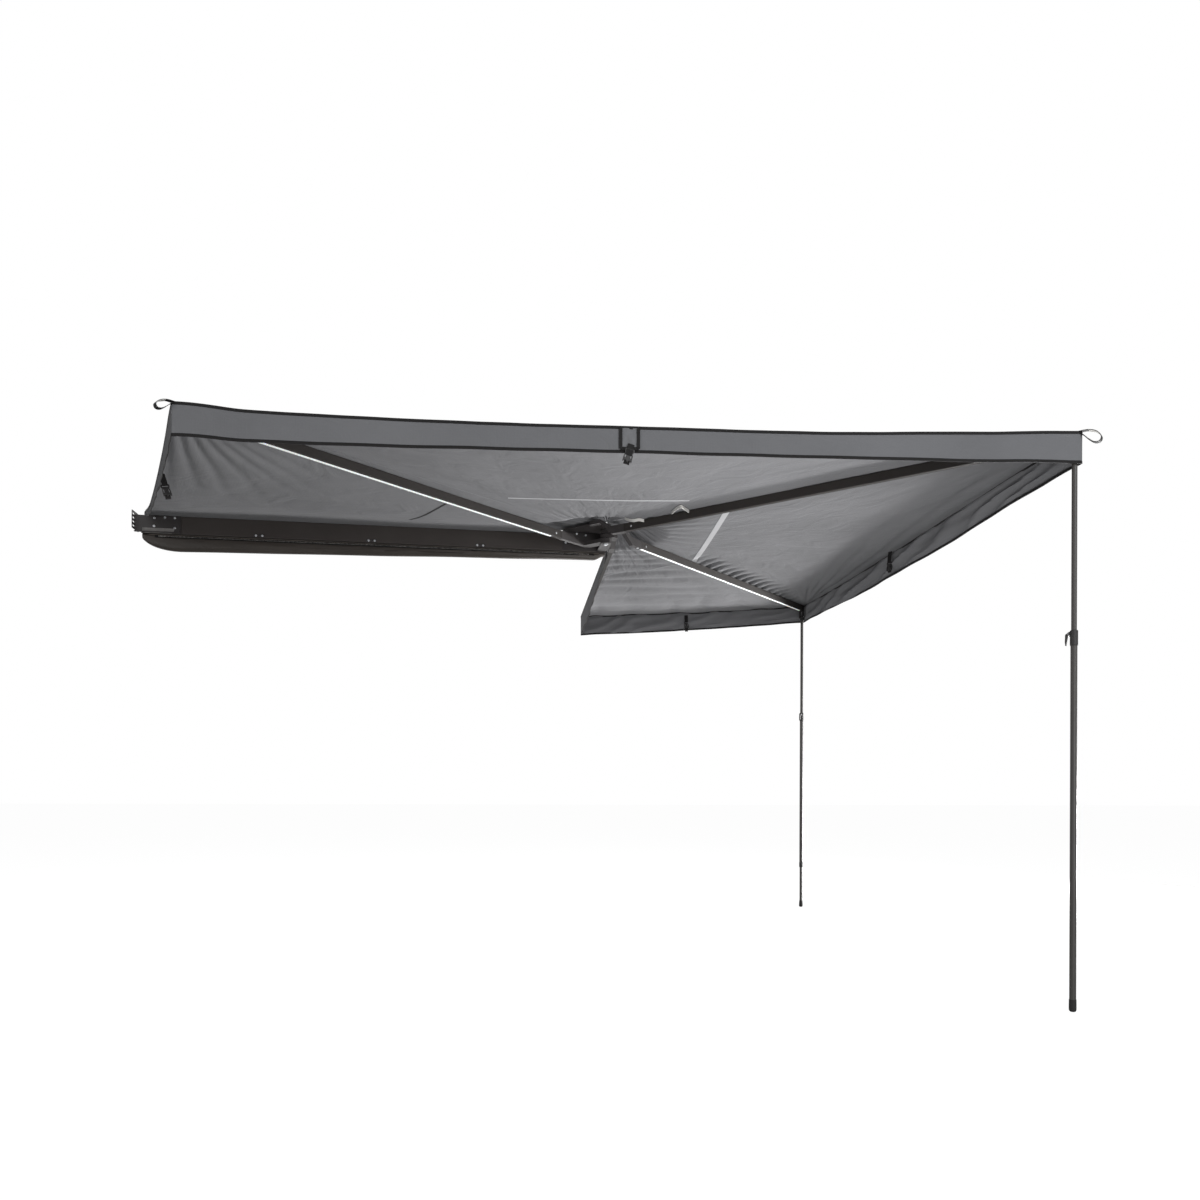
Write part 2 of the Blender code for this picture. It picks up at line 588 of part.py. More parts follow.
def height_at(first, second, sag, x, y, t, u):
    start = rail_edge(u) if first == "rail" else seam(first, u)
    end = seam(second, u)
    width = hypot(start[0] - end[0], start[1] - end[1])
    flat = ARM_WIDTH + 0.012 + abs(row_offset(ARMS[second])) * (1 - u)
    away = (1 - t) * width
    low = sag * 4 * t * (1 - t) * u ** 1.5
    low *= smooth((away - flat) / 0.30) * smooth((t * width - 0.03) / 0.20)
    z = tent(x, y)
    if first == "rail":
        rail_z = RAIL_TOP + FIT
        z = max(z, lerp(rail_z, CLOTH_GAP, smooth((RAIL_FRONT - 0.004 - y) / RAIL_SLOPE)))
    crease = HUB_FOLD * (1 + cos(2 * pi * HUB_FOLDS * t)) * smooth(u / 0.08) * (1 - smooth((u - 0.10) / 0.35))
    crease *= smooth(t / 0.12) * smooth((1 - t) / 0.12)
    return z - low + crease


def sheet(name, columns, rows, place, thickness, upward=True):
    """A grid laid over a rule and given the thickness of cloth."""
    bm = bmesh.new()
    bmesh.ops.create_grid(bm, x_segments=columns, y_segments=rows, size=0.5)
    for vert in bm.verts:
        vert.co = place(vert.co.x + 0.5, vert.co.y + 0.5)
    bmesh.ops.recalc_face_normals(bm, faces=bm.faces)
    mesh = bpy.data.meshes.new(name)
    bm.to_mesh(mesh)
    bm.free()
    obj = add_object(name, mesh, GREY_CLOTH, root)
    total = sum(face.normal.z for face in mesh.polygons)
    if upward and total < 0:
        mesh.flip_normals()
    shell = obj.modifiers.new("thickness", "SOLIDIFY")
    shell.thickness = thickness
    shell.offset = 1.0 if upward else 0.0
    return obj


def make_panel(number, first, second, bow, sag):
    gap = SEAM_GAP / 2

    def place(t, v):
        u = v ** 1.7
        if first == "rail":
            t = t * t
        inner = 0.0 if first == "rail" else gap
        start = rail_edge(u) if first == "rail" else seam(first, u)
        width = max(hypot(*[a - b for a, b in zip(start, seam(second, u))]), 0.004)
        t = lerp(inner / width, 1 - gap / width, t)
        x, y = edge_point(first, second, bow, t, u)
        return (x, y, height_at(first, second, sag, x, y, t, u))

    sheet("canopy_panel_" + str(number), 16, 13, place, CLOTH)


for number, (first, second, bow, sag) in enumerate(PANELS):
    make_panel(number + 1, first, second, bow, sag)


def make_valance(name, first, second, bow, sag, heights, insets):
    """A band that hangs from the outer edge of a panel. Its height goes by three values: first, middle, last."""
    middle = (0.0, RAIL_FRONT) if first == "rail" else (0.0, 0.0)

    def place(t, v):
        t = lerp(insets[0], 1 - insets[1], t)
        x, y = edge_point(first, second, bow, t, 1.0)
        length = hypot(x - middle[0], y - middle[1])
        out = 1 + (CLOTH / 2 + FIT + 0.0002) / length * 1.45
        top = height_at(first, second, sag, x, y, t, 1.0) + CLOTH
        drop = lerp(heights[0], heights[2], t) + (heights[1] - (heights[0] + heights[2]) / 2) * 4 * t * (1 - t)
        wave = 1 + 0.0012 * (1 - v) * sin(2 * pi * t * 7) * smooth(t / 0.1) * smooth((1 - t) / 0.1)
        return (middle[0] + (x - middle[0]) * out * wave, middle[1] + (y - middle[1]) * out * wave,
                top - drop * (1 - v))

    sheet(name, 20, 3, place, CLOTH, upward=False)


shallow = VALANCE - EDGE_SAG + 0.004
make_valance("valance_left", "rail", "a", PANELS[0][2], PANELS[0][3], (0.022, 0.070, VALANCE), (0.045, 0.0006))
make_valance("valance_near", "a", "b", EDGE_BOW, EDGE_SAG, (VALANCE, shallow, VALANCE), (0.0006, 0.0006))
make_valance("valance_right", "b", "c", EDGE_BOW, EDGE_SAG, (VALANCE, shallow, VALANCE), (0.0006, 0.0006))
make_valance("valance_far", "c", "d", EDGE_BOW / 2, EDGE_SAG / 2, (VALANCE, VALANCE - 0.006, VALANCE),
             (0.0006, 0.0010))


def end_place(t, v):
    s = lerp(0.30, ARMS["d"]["reach"] - 0.002, t)
    x, y = arm_point("d", s, LAST_EDGE + CLOTH / 2 - 0.0001)
    drop = lerp(0.055, VALANCE, smooth(t * 1.4))
    return (x, y, tent(x, y) + CLOTH - drop * (1 - v))


sheet("valance_end", 16, 3, end_place, CLOTH, upward=False)


# Storage bag: a soft sleeve under the rail, deepest at its left end
def bag_height(x):
    left = RAIL_LEFT + 0.004
    right = RAIL_RIGHT - 0.004
    t = (x - left) / (right - left)
    full = lerp(BAG_LOW_LEFT, BAG_LOW_RIGHT, smooth(t) * 0.35 + t * 0.65)
    ends = smooth((x - left + 0.02) / 0.23) * smooth((right - x + 0.025) / 0.09)
    return max(full * ends, 0.014)


def bag_ring(x, count=12):
    height = bag_height(x)
    top = RAIL_LOW - FIT
    ring = []
    for i in range(count):
        turn = 2 * pi * (i + 0.5) / count
        across = abs(cos(turn)) ** 0.7 * (1 if cos(turn) > 0 else -1)
        up = abs(sin(turn)) ** 0.7 * (1 if sin(turn) > 0 else -1)
        swell = 1 - 0.16 * smooth(-up) + 0.05 * sin(x * 9.0 + 2.0 * up)
        y = RAIL_FRONT + RAIL_DEPTH / 2 - 0.001 + across * BAG_DEPTH / 2 * swell
        ring.append((x, y, top - height * (1 - up) / 2))
    return ring


def loft(name, rings, material, parent):
    """A skin over closed rings of the same count, with flat ends."""
    bm = bmesh.new()
    rows = [[bm.verts.new(point) for point in ring] for ring in rings]
    for near, far in zip(rows, rows[1:]):
        for i in range(len(near)):
            j = (i + 1) % len(near)
            bm.faces.new((near[i], near[j], far[j], far[i]))
    bm.faces.new(rows[0])
    bm.faces.new(rows[-1])
    bmesh.ops.recalc_face_normals(bm, faces=bm.faces)
    mesh = bpy.data.meshes.new(name)
    bm.to_mesh(mesh)
    bm.free()
    return add_object(name, mesh, material, parent)


BAG_RINGS = 26
bag_left = RAIL_LEFT + 0.004
bag_right = RAIL_RIGHT - 0.004
stations = []
for i in range(BAG_RINGS + 1):
    t = i / BAG_RINGS
    t = t + 0.10 * sin(4 * pi * t) / (2 * pi) - 0.05 * sin(2 * pi * t) / pi
    stations.append(lerp(bag_left, bag_right, t))
loft("storage_bag", [bag_ring(x) for x in stations], DARK_CLOTH, root)

for obj in awning.objects:
    if obj.type == "MESH":
        obj.data.shade_smooth()
        obj.data.set_sharp_from_angle(angle=radians(30))
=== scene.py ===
# %% [markdown]
# # A side awning that swings round the corner of a vehicle
# Four arms fan out from one upright pin at the end of a wall rail and carry a grey cloth roof with hanging
# valances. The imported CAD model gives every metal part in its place. This lesson dresses it: first the camera and
# the finishes, then the cloth, which is most of the work, then the small pieces, and last the room and its lamps.

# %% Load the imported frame
import json
from math import asin, atan, atan2, cos, degrees, exp, hypot, log, pi, radians, sin, sqrt

import bmesh
import bpy
from mathutils import Matrix, Vector, noise


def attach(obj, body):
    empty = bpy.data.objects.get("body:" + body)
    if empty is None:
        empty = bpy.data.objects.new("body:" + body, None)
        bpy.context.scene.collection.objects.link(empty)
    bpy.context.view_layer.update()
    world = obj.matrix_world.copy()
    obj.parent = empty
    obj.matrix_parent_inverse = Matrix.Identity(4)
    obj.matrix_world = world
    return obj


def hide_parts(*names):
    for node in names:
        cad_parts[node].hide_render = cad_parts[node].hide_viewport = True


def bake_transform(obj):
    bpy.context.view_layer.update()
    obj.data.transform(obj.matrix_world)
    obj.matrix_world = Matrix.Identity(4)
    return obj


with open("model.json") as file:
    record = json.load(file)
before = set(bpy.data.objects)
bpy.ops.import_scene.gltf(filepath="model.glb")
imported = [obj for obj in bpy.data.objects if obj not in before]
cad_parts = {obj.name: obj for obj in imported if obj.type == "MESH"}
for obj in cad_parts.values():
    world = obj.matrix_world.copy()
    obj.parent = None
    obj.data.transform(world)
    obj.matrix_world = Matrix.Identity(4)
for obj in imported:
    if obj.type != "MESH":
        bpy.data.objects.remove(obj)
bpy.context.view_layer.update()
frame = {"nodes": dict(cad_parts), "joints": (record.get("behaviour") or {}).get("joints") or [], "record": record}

hinges = {joint["name"]: joint for joint in frame["joints"]}
AXIS = Vector(hinges["arm_d_swing"]["pos_m"])
print("knuckle axis at", [round(value, 4) for value in AXIS])

# %% [markdown]
# Places are given from the knuckle axis at the height of the top of the arms: x runs along the rail, y towards
# the vehicle and z up. The opened angle, the reach and the sideways row of each arm are those of the CAD part.

# %% The main sizes, in metres
ARMS = {
    "a": {"open": 43.0, "reach": 2.19, "row": 0.140},
    "b": {"open": 136.0, "reach": 2.29, "row": 0.109},
    "c": {"open": 226.0, "reach": 2.30, "row": 0.078},
    "d": {"open": 268.0, "reach": 2.28, "row": 0.047},
}
ARM_WIDTH, ARM_HEIGHT = 0.025, 0.040
RAIL_LEFT, RAIL_RIGHT = -2.340, 0.020
RAIL_FRONT, RAIL_DEPTH = 0.160, 0.055
RAIL_TOP, RAIL_LOW = 0.040, -0.050
GROUND = -2.166
VALANCE, LAST_VALANCE = 0.119, 0.143


def smooth(value):
    value = min(max(value, 0.0), 1.0)
    return value * value * (3 - 2 * value)


def lerp(a, b, t):
    return a + (b - a) * t


def uneven(*place):
    """Smooth noise, from about -1 to 1."""
    return noise.noise(Vector(place))


def path_length(points):
    return sum((q - p).length for p, q in zip(points, points[1:]))


def arm_point(key, along, side):
    """The place of a point on an arm, seen from above."""
    turn = radians(180 + ARMS[key]["open"])
    return (along * cos(turn) - side * sin(turn), along * sin(turn) + side * cos(turn))


print("corners", {key: [round(c, 3) for c in arm_point(key, arm["reach"], -arm["row"])] for key, arm in ARMS.items()})

# %% [markdown]
# The camera stands a little above the ground and looks level and slightly right, so that the roof is seen from
# below. Its place, turn and lens were fitted to the corners, arms and feet. The sensor's shift keeps the uprights
# parallel, as a view camera does.

# %% Camera
IMAGE = 1200
FOCAL_PIXELS = 929.1
CENTRE = (623.93, 793.12)
camera_data = bpy.data.cameras.new("camera")
camera = bpy.data.objects.new("camera", camera_data)
bpy.context.scene.collection.objects.link(camera)
bpy.context.scene.camera = camera
camera.location = (0.51877, -5.05024, -1.34863)
camera.rotation_euler = (pi / 2, -0.00366, -0.15225)
camera_data.sensor_width = 36.0
camera_data.lens = FOCAL_PIXELS * camera_data.sensor_width / IMAGE
camera_data.shift_x = (IMAGE / 2 - CENTRE[0]) / IMAGE
camera_data.shift_y = (CENTRE[1] - IMAGE / 2) / IMAGE
camera_data.clip_end = 200.0
print("lens", round(camera_data.lens, 2), "mm")

# %% [markdown]
# A finish is a Principled shader with a few nodes in front of it. Colours are written as the sRGB hex values a
# painter would pick and turned to linear light once. One small function adds any node with its settings.


# %% Colour and node helpers
def linear(hex_colour):
    parts = [int(hex_colour[i:i + 2], 16) / 255 for i in (1, 3, 5)]
    return tuple(c / 12.92 if c <= 0.04045 else ((c + 0.055) / 1.055) ** 2.4 for c in parts) + (1.0,)


def add_node(tree, kind, values=None, links=None, **settings):
    """Adds a node, sets its options and sockets, and links its inputs."""
    node = tree.nodes.new(kind)
    for name, value in settings.items():
        setattr(node, name, value)
    for name, value in (values or {}).items():
        node.inputs[name].default_value = value
    for name, source in (links or {}).items():
        tree.links.new(source, node.inputs[name])
    return node


def new_finish(name, colour, roughness, metallic=0.0, **sockets):
    finish = bpy.data.materials.new(name)
    finish.use_nodes = True
    shader = finish.node_tree.nodes["Principled BSDF"]
    shader.inputs["Base Color"].default_value = linear(colour)
    shader.inputs["Roughness"].default_value = roughness
    shader.inputs["Metallic"].default_value = metallic
    for socket, value in sockets.items():
        shader.inputs[socket.replace("_", " ")].default_value = value
    return finish, finish.node_tree, shader


def mottle(tree, shader, place, dark, light, patch, wear, detail=4.0):
    """Lets the colour drift between two shades over patches of a real size, and the roughness with it."""
    cloud = add_node(tree, "ShaderNodeTexNoise", {"Scale": 1 / patch, "Detail": detail}, {"Vector": place})
    shade = add_node(tree, "ShaderNodeMixRGB", {"Color1": linear(dark), "Color2": linear(light)},
                     {"Fac": cloud.outputs["Fac"]})
    tree.links.new(shade.outputs["Color"], shader.inputs["Base Color"])
    level = add_node(tree, "ShaderNodeMapRange", {"To Min": wear[0], "To Max": wear[1]},
                     {"Value": cloud.outputs["Fac"]})
    tree.links.new(level.outputs["Result"], shader.inputs["Roughness"])


def relief(tree, shader, height, depth):
    """Raises the surface by a pattern, to a depth in metres."""
    bump = add_node(tree, "ShaderNodeBump", {"Distance": depth, "Strength": 1.0}, {"Height": height})
    tree.links.new(bump.outputs["Normal"], shader.inputs["Normal"])


def coat(name, colour, roughness, dark, light, patch, wear, metallic=0.0, grain=None, stretch=None, **sockets):
    """A finish that drifts over the piece. grain is a kind of pattern, its settings and its depth in metres."""
    finish, tree, shader = new_finish(name, colour, roughness, metallic, **sockets)
    place = add_node(tree, "ShaderNodeTexCoord").outputs["Object"]
    if stretch:
        place = add_node(tree, "ShaderNodeMapping", {"Scale": stretch}, {"Vector": place}).outputs["Vector"]
    mottle(tree, shader, place, dark, light, patch, wear)
    if grain:
        kind, settings, depth = grain
        relief(tree, shader, add_node(tree, kind, settings, {"Vector": place}).outputs[0], depth)
    return finish


print("helpers ready")

# %% [markdown]
# Powder coat is sprayed as dry paint and baked. It gives a dead black with a soft sheen and the fine dimples
# called orange peel, about a millimetre across, drawn at 2.5 mm here so that they show. The arms have a matt coat,
# which stays dark where the light grazes them.

# %% Black powder coat, on the arms, the rail and the brackets
PEEL = 0.0025
powder_alloy = coat("powder_coated_alloy", "#3a3533", 0.42, "#332e2c", "#413c39", 0.35, (0.36, 0.50),
                    grain=("ShaderNodeTexNoise", {"Scale": 1 / PEEL, "Detail": 2.0}, 0.00012))
powder_arm = coat("powder_coated_arm", "#2e2a29", 0.60, "#2a2625", "#33302e", 0.35, (0.54, 0.66),
                  Specular_IOR_Level=0.25)
powder_steel = coat("powder_coated_steel", "#2f2b2b", 0.5, "#282525", "#383434", 0.12, (0.42, 0.58),
                    grain=("ShaderNodeTexNoise", {"Scale": 1 / PEEL, "Detail": 3.0}, 0.00018))
print("powder coats ready")

# %% [markdown]
# The screws, the pin and the nut are zinc plated steel: bright, slightly blue and rubbed.

# %% Zinc plated steel
zinc = coat("zinc_plated_steel", "#e2e4e7", 0.32, "#d3d5d9", "#f1f2f4", 0.004, (0.24, 0.42), 0.75)
print(zinc.name, "ready")

# %% [markdown]
# The legs are drawn aluminium tube, anodised dark grey. Drawing leaves fine lines along the tube, so the pattern
# is squeezed sideways and stretched upwards.

# %% Dark anodised leg tube
leg_alloy = coat("dark_anodised_aluminium", "#3a3735", 0.42, "#322f2e", "#45423f", 0.003, (0.36, 0.50),
                 grain=("ShaderNodeTexNoise", {"Scale": 900.0, "Detail": 2.0}, 0.00003), stretch=(1.0, 1.0, 0.02))
print("metals ready")

# %% [markdown]
# Caps, collars and levers are glass filled nylon, moulded with a spark eroded grain of about 0.4 mm, drawn at
# 1 mm. The feet are matt rubber with a chalky bloom. The light strips are white silicone over the diodes, with a
# faint painted glow so that they read white, though the diodes are off.

# %% Mouldings, rubber and the light strip
nylon = coat("moulded_black_nylon", "#1d1b1b", 0.55, "#191717", "#242222", 0.03, (0.48, 0.64),
             grain=("ShaderNodeTexVoronoi", {"Scale": 1000.0}, 0.00012))
rubber = coat("moulded_black_rubber", "#1b1a19", 0.8, "#151414", "#2a2927", 0.02, (0.72, 0.92),
              grain=("ShaderNodeTexNoise", {"Scale": 700.0, "Detail": 3.0}, 0.0002))
# The light strips' emission is a painted glow: the diodes are not lit.
silicone_painted_glow = coat("white_silicone_painted_glow", "#eceae6", 0.35, "#e2e0dc", "#f4f3f0", 0.05, (0.30, 0.44),
                Subsurface_Weight=0.2, Emission_Color=linear("#f4f3f0"), Emission_Strength=0.25)
print("mouldings ready")

# %% [markdown]
# The roof is polyester and cotton canvas with a ripstop grid, dyed through and proofed on the inside. The weave
# follows the cloth, so it reads the piece's own UV map, which is in metres. Real threads are 0.4 mm apart. They
# are drawn at 2 mm, and the ripstop cords at 12 mm, so that both can be seen. A little sheen gives the bloom of
# proofed canvas, and a slow relief of 6 mm the crumples left from being packed. The rest is woven by the same rule:
# ribbed nylon webbing, coated bag canvas, which is darker and smoother, and thin paler tapes that seal the seams.

# %% Ripstop canvas and the other woven finishes
THREAD, RIPSTOP = 0.0020, 0.012
ONE_BAND = 0.314  # the scale at which a wave texture has one band to the metre, 2 pi / 20


def woven(name, dark, light, roughness, thread, depth, rip=None, crumple=None, shine=0.0):
    """thread is the distance between threads, depth how far they stand out, and rip the distance between cords."""
    finish, tree, shader = new_finish(name, light, roughness, Sheen_Weight=0.04, Sheen_Roughness=0.5,
                                      Specular_IOR_Level=shine)
    place = add_node(tree, "ShaderNodeUVMap").outputs["UV"]
    mottle(tree, shader, place, dark, light, 0.45, (roughness - 0.08, roughness + 0.08), 6.0)
    warp, weft = (add_node(tree, "ShaderNodeTexWave", {"Scale": ONE_BAND / thread, "Distortion": 0.4, "Detail": 1.0},
                           {"Vector": place}, bands_direction=way, wave_type="BANDS") for way in "XY")
    cross = add_node(tree, "ShaderNodeMath", None, {0: warp.outputs["Fac"], 1: weft.outputs["Fac"]},
                     operation="MULTIPLY")
    if rip:
        cords = [add_node(tree, "ShaderNodeTexWave", {"Scale": ONE_BAND / rip, "Distortion": 0.0},
                          {"Vector": place}, bands_direction=way, wave_type="BANDS") for way in "XY"]
        either = add_node(tree, "ShaderNodeMath", None, {0: cords[0].outputs["Fac"], 1: cords[1].outputs["Fac"]},
                          operation="MAXIMUM")
        sharp = add_node(tree, "ShaderNodeMath", {1: 12.0}, {0: either.outputs["Value"]}, operation="POWER")
        cross = add_node(tree, "ShaderNodeMath", None, {0: cross.outputs["Value"], 1: sharp.outputs["Value"]},
                         operation="ADD")
    if crumple:
        size, height = crumple
        crush = add_node(tree, "ShaderNodeTexNoise", {"Scale": 1 / size, "Detail": 3.0, "Roughness": 0.45,
                                                      "Distortion": 1.2}, {"Vector": place})
        cross = add_node(tree, "ShaderNodeMath", {1: height / depth},
                         {0: crush.outputs["Fac"], 2: cross.outputs["Value"]}, operation="MULTIPLY_ADD")
    relief(tree, shader, cross.outputs["Value"], depth)
    return finish


canvas = woven("ripstop_canvas", "#6b6b6d", "#7e7e80", 0.70, THREAD, 0.00010, RIPSTOP, crumple=(0.16, 0.006))
webbing = woven("black_webbing", "#141313", "#201e1e", 0.7, 0.003, 0.0004, shine=0.2)
# Pale webbing for the hub tabs, also laid inside the corner loops as painted light on their inner faces.
pale_webbing_and_painted_light = woven("pale_webbing_and_painted_light", "#c4c2be", "#e9e7e3", 0.7, 0.003, 0.0004)
bag_cloth = woven("coated_bag_canvas", "#302c29", "#4c4641", 0.40, 0.0025, 0.00012, shine=0.3)
seam_tape = woven("sealing_tape", "#7b7b7d", "#8f8f91", 0.5, 0.004, 0.00005)
pale_tape = woven("pale_sealing_tape", "#a3a3a5", "#bdbdbf", 0.5, 0.004, 0.00005)
patch_cloth = woven("patch_canvas", "#6e6e70", "#868688", 0.6, THREAD, 0.00010, RIPSTOP)
piping_cloth = woven("bag_piping_cloth", "#5a544f", "#77706a", 0.5, 0.003, 0.0002, shine=0.3)
print("cloths ready")

# %% [markdown]
# Each CAD node keeps its shape and takes one of these finishes by the material slot that its record names. The
# arm tubes take a coat of their own.

# %% Finish the CAD nodes
FINISHES = {"black_alloy": powder_alloy, "black_steel": powder_steel, "bright_steel": zinc, "bare_alloy": leg_alloy,
            "dark_alloy": leg_alloy, "black_plastic": nylon, "black_rubber": rubber, "light_lens": silicone_painted_glow,
            "grey_cloth": canvas, "dark_cloth": bag_cloth}
ARM_TUBES = ["arm_" + key + "_tube" for key in ARMS]
for part in frame["record"]["subparts"]:
    for holder in frame["nodes"][part["node"]].material_slots:
        holder.material = powder_arm if part["node"] in ARM_TUBES else FINISHES[part["material_slot"]]

# %% [markdown]
# ## The roof
# The cloth rises over the knuckle like a tent, lies on the arms and sags a little between them. Its folds come
# from how it is held: short puckers where it gathers at the hub, a fan of folds at the corner, and long creases
# on the last panel. One rule gives every point of a panel, from one seam (t = 0) to the next (t = 1) and from
# the hub (u = 0) to the outer edge (u = 1). The valances and tapes follow the same rule, so that they meet it.

# %% Where the cloth lies
# each panel's first and second seam, how far its outer edge bows in, as a share, and its sag in metres
PANELS = {1: ("rail", "a", 0.004, 0.014), 2: ("a", "b", 0.012, 0.028), 3: ("b", "c", 0.012, 0.028),
          4: ("c", "d", 0.006, 0.014)}
CLOTH = 0.0010
CLOTH_GAP = 0.0008
HUB_RISE = 0.066
LAST_EDGE = -0.031
RIDGE = (-0.12, 0.090)
CORNER_OUT = {"a": 0.016, "b": -0.010, "c": 0.0, "d": 0.0}


def tent(x, y):
    """Height of the cloth over the knuckle, by the distance from the roof of the channel."""
    along = min(max((x * RIDGE[0] + y * RIDGE[1]) / (RIDGE[0] ** 2 + RIDGE[1] ** 2), 0.0), 1.0)
    away = hypot(x - RIDGE[0] * along, y - RIDGE[1] * along)
    return CLOTH_GAP + (HUB_RISE - CLOTH_GAP) * (1 - smooth((away - 0.14) / 0.20))


def seam(key, u):
    """A seam runs straight from the hub to the corner at the tip of its arm, or along the front of the rail."""
    if key == "rail":
        return (lerp(-0.022, RAIL_LEFT + 0.006, u), RAIL_FRONT + 0.022)
    reach = ARMS[key]["reach"]
    along = lerp(0.010, reach + CORNER_OUT[key], u)
    if key == "d":
        return arm_point(key, along, LAST_EDGE * smooth(along / 0.12))
    x, y = arm_point(key, reach, -ARMS[key]["row"])
    return (x * along / reach, y * along / reach)


def edge_point(panel, t, u):
    first, second, bow, _ = PANELS[panel]
    start, end = seam(first, u), seam(second, u)
    pull = 1 - bow * 4 * t * (1 - t) * u ** 4
    middle = RAIL_FRONT if first == "rail" else 0.0
    return (lerp(start[0], end[0], t) * pull, middle + (lerp(start[1], end[1], t) - middle) * pull)


print("middle of panel 2's outer edge", [round(c, 3) for c in edge_point(2, 0.5, 1.0)])

# %% [markdown]
# Folds are rows of crests. A fan of them spreads from a corner, where the cloth is pulled hardest. Panel 3 also has
# short gathers along arm c, where it was sewn on with slack, and panel 4 has long creases, closer near the hub.

# %% The folds
# each panel's number of puckers at the hub, and their height
PUCKERS = {1: (6, 0.004), 2: (13, 0.0045), 3: (10, 0.0075), 4: (5, 0.0025)}
# each fan's corner, folds in a whole turn, seed and height, then where it has risen, starts to fade, and for how far
FANS = {1: (("a", 46.0, 2.0, 0.0085, 0.12, 0.40, 0.75),),
        2: (("a", 30.0, 5.0, 0.0045, 0.30, 0.70, 0.90), ("b", 26.0, 7.0, 0.0050, 0.30, 0.50, 0.90)),
        3: (("c", 34.0, 6.0, 0.0080, 0.15, 0.35, 0.60),),
        4: ()}
ARM_C_TURN = radians(ARMS["c"]["open"] - 180)
GATHERS_START, GATHER_PITCH, GATHER_HEIGHT = 0.085, 0.062, 0.0200
LONG_CREASE = 0.0125


def ridge(phase, sharp=2.0):
    """A row of folds with narrow crests and wide hollows, from 0 to 1."""
    return (0.5 + 0.5 * cos(phase)) ** sharp


def fan(key, x, y, folds_in_turn, seed):
    """Folds that spread from a corner, and the distance from it."""
    corner = seam(key, 1.0)
    away = hypot(x - corner[0], y - corner[1])
    turn = atan2(corner[1] - y, corner[0] - x)
    wander = uneven(away * 1.8, turn * 3.0, seed)
    return ridge(turn * folds_in_turn + 2.2 * wander), away


def gathers(x, y, u):
    """Short upright folds beside arm c, by the distance from its seam."""
    gap = (x * sin(ARM_C_TURN) - y * cos(ARM_C_TURN)) / cos(ARM_C_TURN) - GATHERS_START
    wander = 2.6 * uneven(x * 5.0, 0.0, 8.0)
    spike = ridge(2 * pi * (x - 0.25 * gap) / GATHER_PITCH + wander, 2.4)
    tall = 0.7 + 0.5 * uneven(x * 9.0, 1.0, 2.0)
    beside = smooth(gap / 0.03) * (1 - smooth((gap - 0.08) / 0.26))
    return GATHER_HEIGHT * spike * tall * beside * smooth((u - 0.30) / 0.10) * smooth((0.97 - u) / 0.08)


def folds(panel, x, y, t, u):
    """The height that the folds add to a panel."""
    calm = smooth(t / 0.08) * smooth((1 - t) / 0.08)
    drift = uneven(x * 1.6, y * 1.6, panel * 5.0)
    fine = uneven(x * 8.0, y * 8.0, panel * 9.0)
    add = (0.0060 * drift + 0.0010 * fine) * calm * smooth(u / 0.2)
    count, deep = PUCKERS[panel]
    wave = ridge(2 * pi * count * t + 2.4 * uneven(t * 5, u * 5, panel), 1.3)
    near_hub = smooth(u / 0.05) * (1 - smooth((u - 0.16) / 0.20))
    add += deep * near_hub * wave * smooth(t / 0.10) * smooth((1 - t) / 0.10)
    extent = {1: min(smooth((0.62 - t) / 0.3) + 0.6 * smooth((u - 0.55) / 0.3), 1.0),
              3: smooth((u - 0.5) / 0.3)}.get(panel, 1.0)
    for key, folds_in_turn, seed, height, risen, fade, fading in FANS[panel]:
        wave, away = fan(key, x, y, folds_in_turn, seed)
        add += height * wave * smooth(away / risen) * (1 - smooth((away - fade) / fading)) * extent * calm
    if panel == 3:
        wave, away = fan("b", x, y, 40.0, 3.0)
        add += 0.0040 * wave * smooth((t - 0.03) / 0.14) * smooth((u - 0.62) / 0.22) \
            * (1 - smooth((t - 0.6) / 0.35)) * calm
        wave, away = fan("c", x, y, 84.0, 3.0)
        along_edge = smooth((away - 0.15) / 0.4) * smooth((u - 0.80) / 0.10) * smooth((t - 0.04) / 0.1)
        add += 0.0085 * wave ** 1.5 * along_edge + gathers(x, y, u)
    if panel == 4:
        phase = 33.5 * log(1 + u / 0.04) + t * 2.6 + 2.6 * uneven(u * 6, t * 2.4, 4.0)
        tall = LONG_CREASE * min((u + 0.05) / 0.45, 1.0) * (1 - 0.5 * smooth((u - 0.45) / 0.3))
        add += tall * ridge(phase, 1.6) * smooth((t - 0.04) / 0.40) * smooth((1 - t) / 0.05) * smooth(u / 0.03)
        wave = ridge(t * 34 + 3.0 * uneven(u * 5, t * 3, 9.0))
        add += 0.0060 * wave * smooth((u - 0.60) / 0.3) * calm
    return add


heights = [folds(3, *edge_point(3, i / 40, 0.12), i / 40, 0.12) for i in range(41)]
print("puckers of panel 3 rise up to", round(max(heights), 4), "m")

# %% [markdown]
# Near an arm the cloth lies flat on its top, and it sags only from there on. No fold dips into an arm.


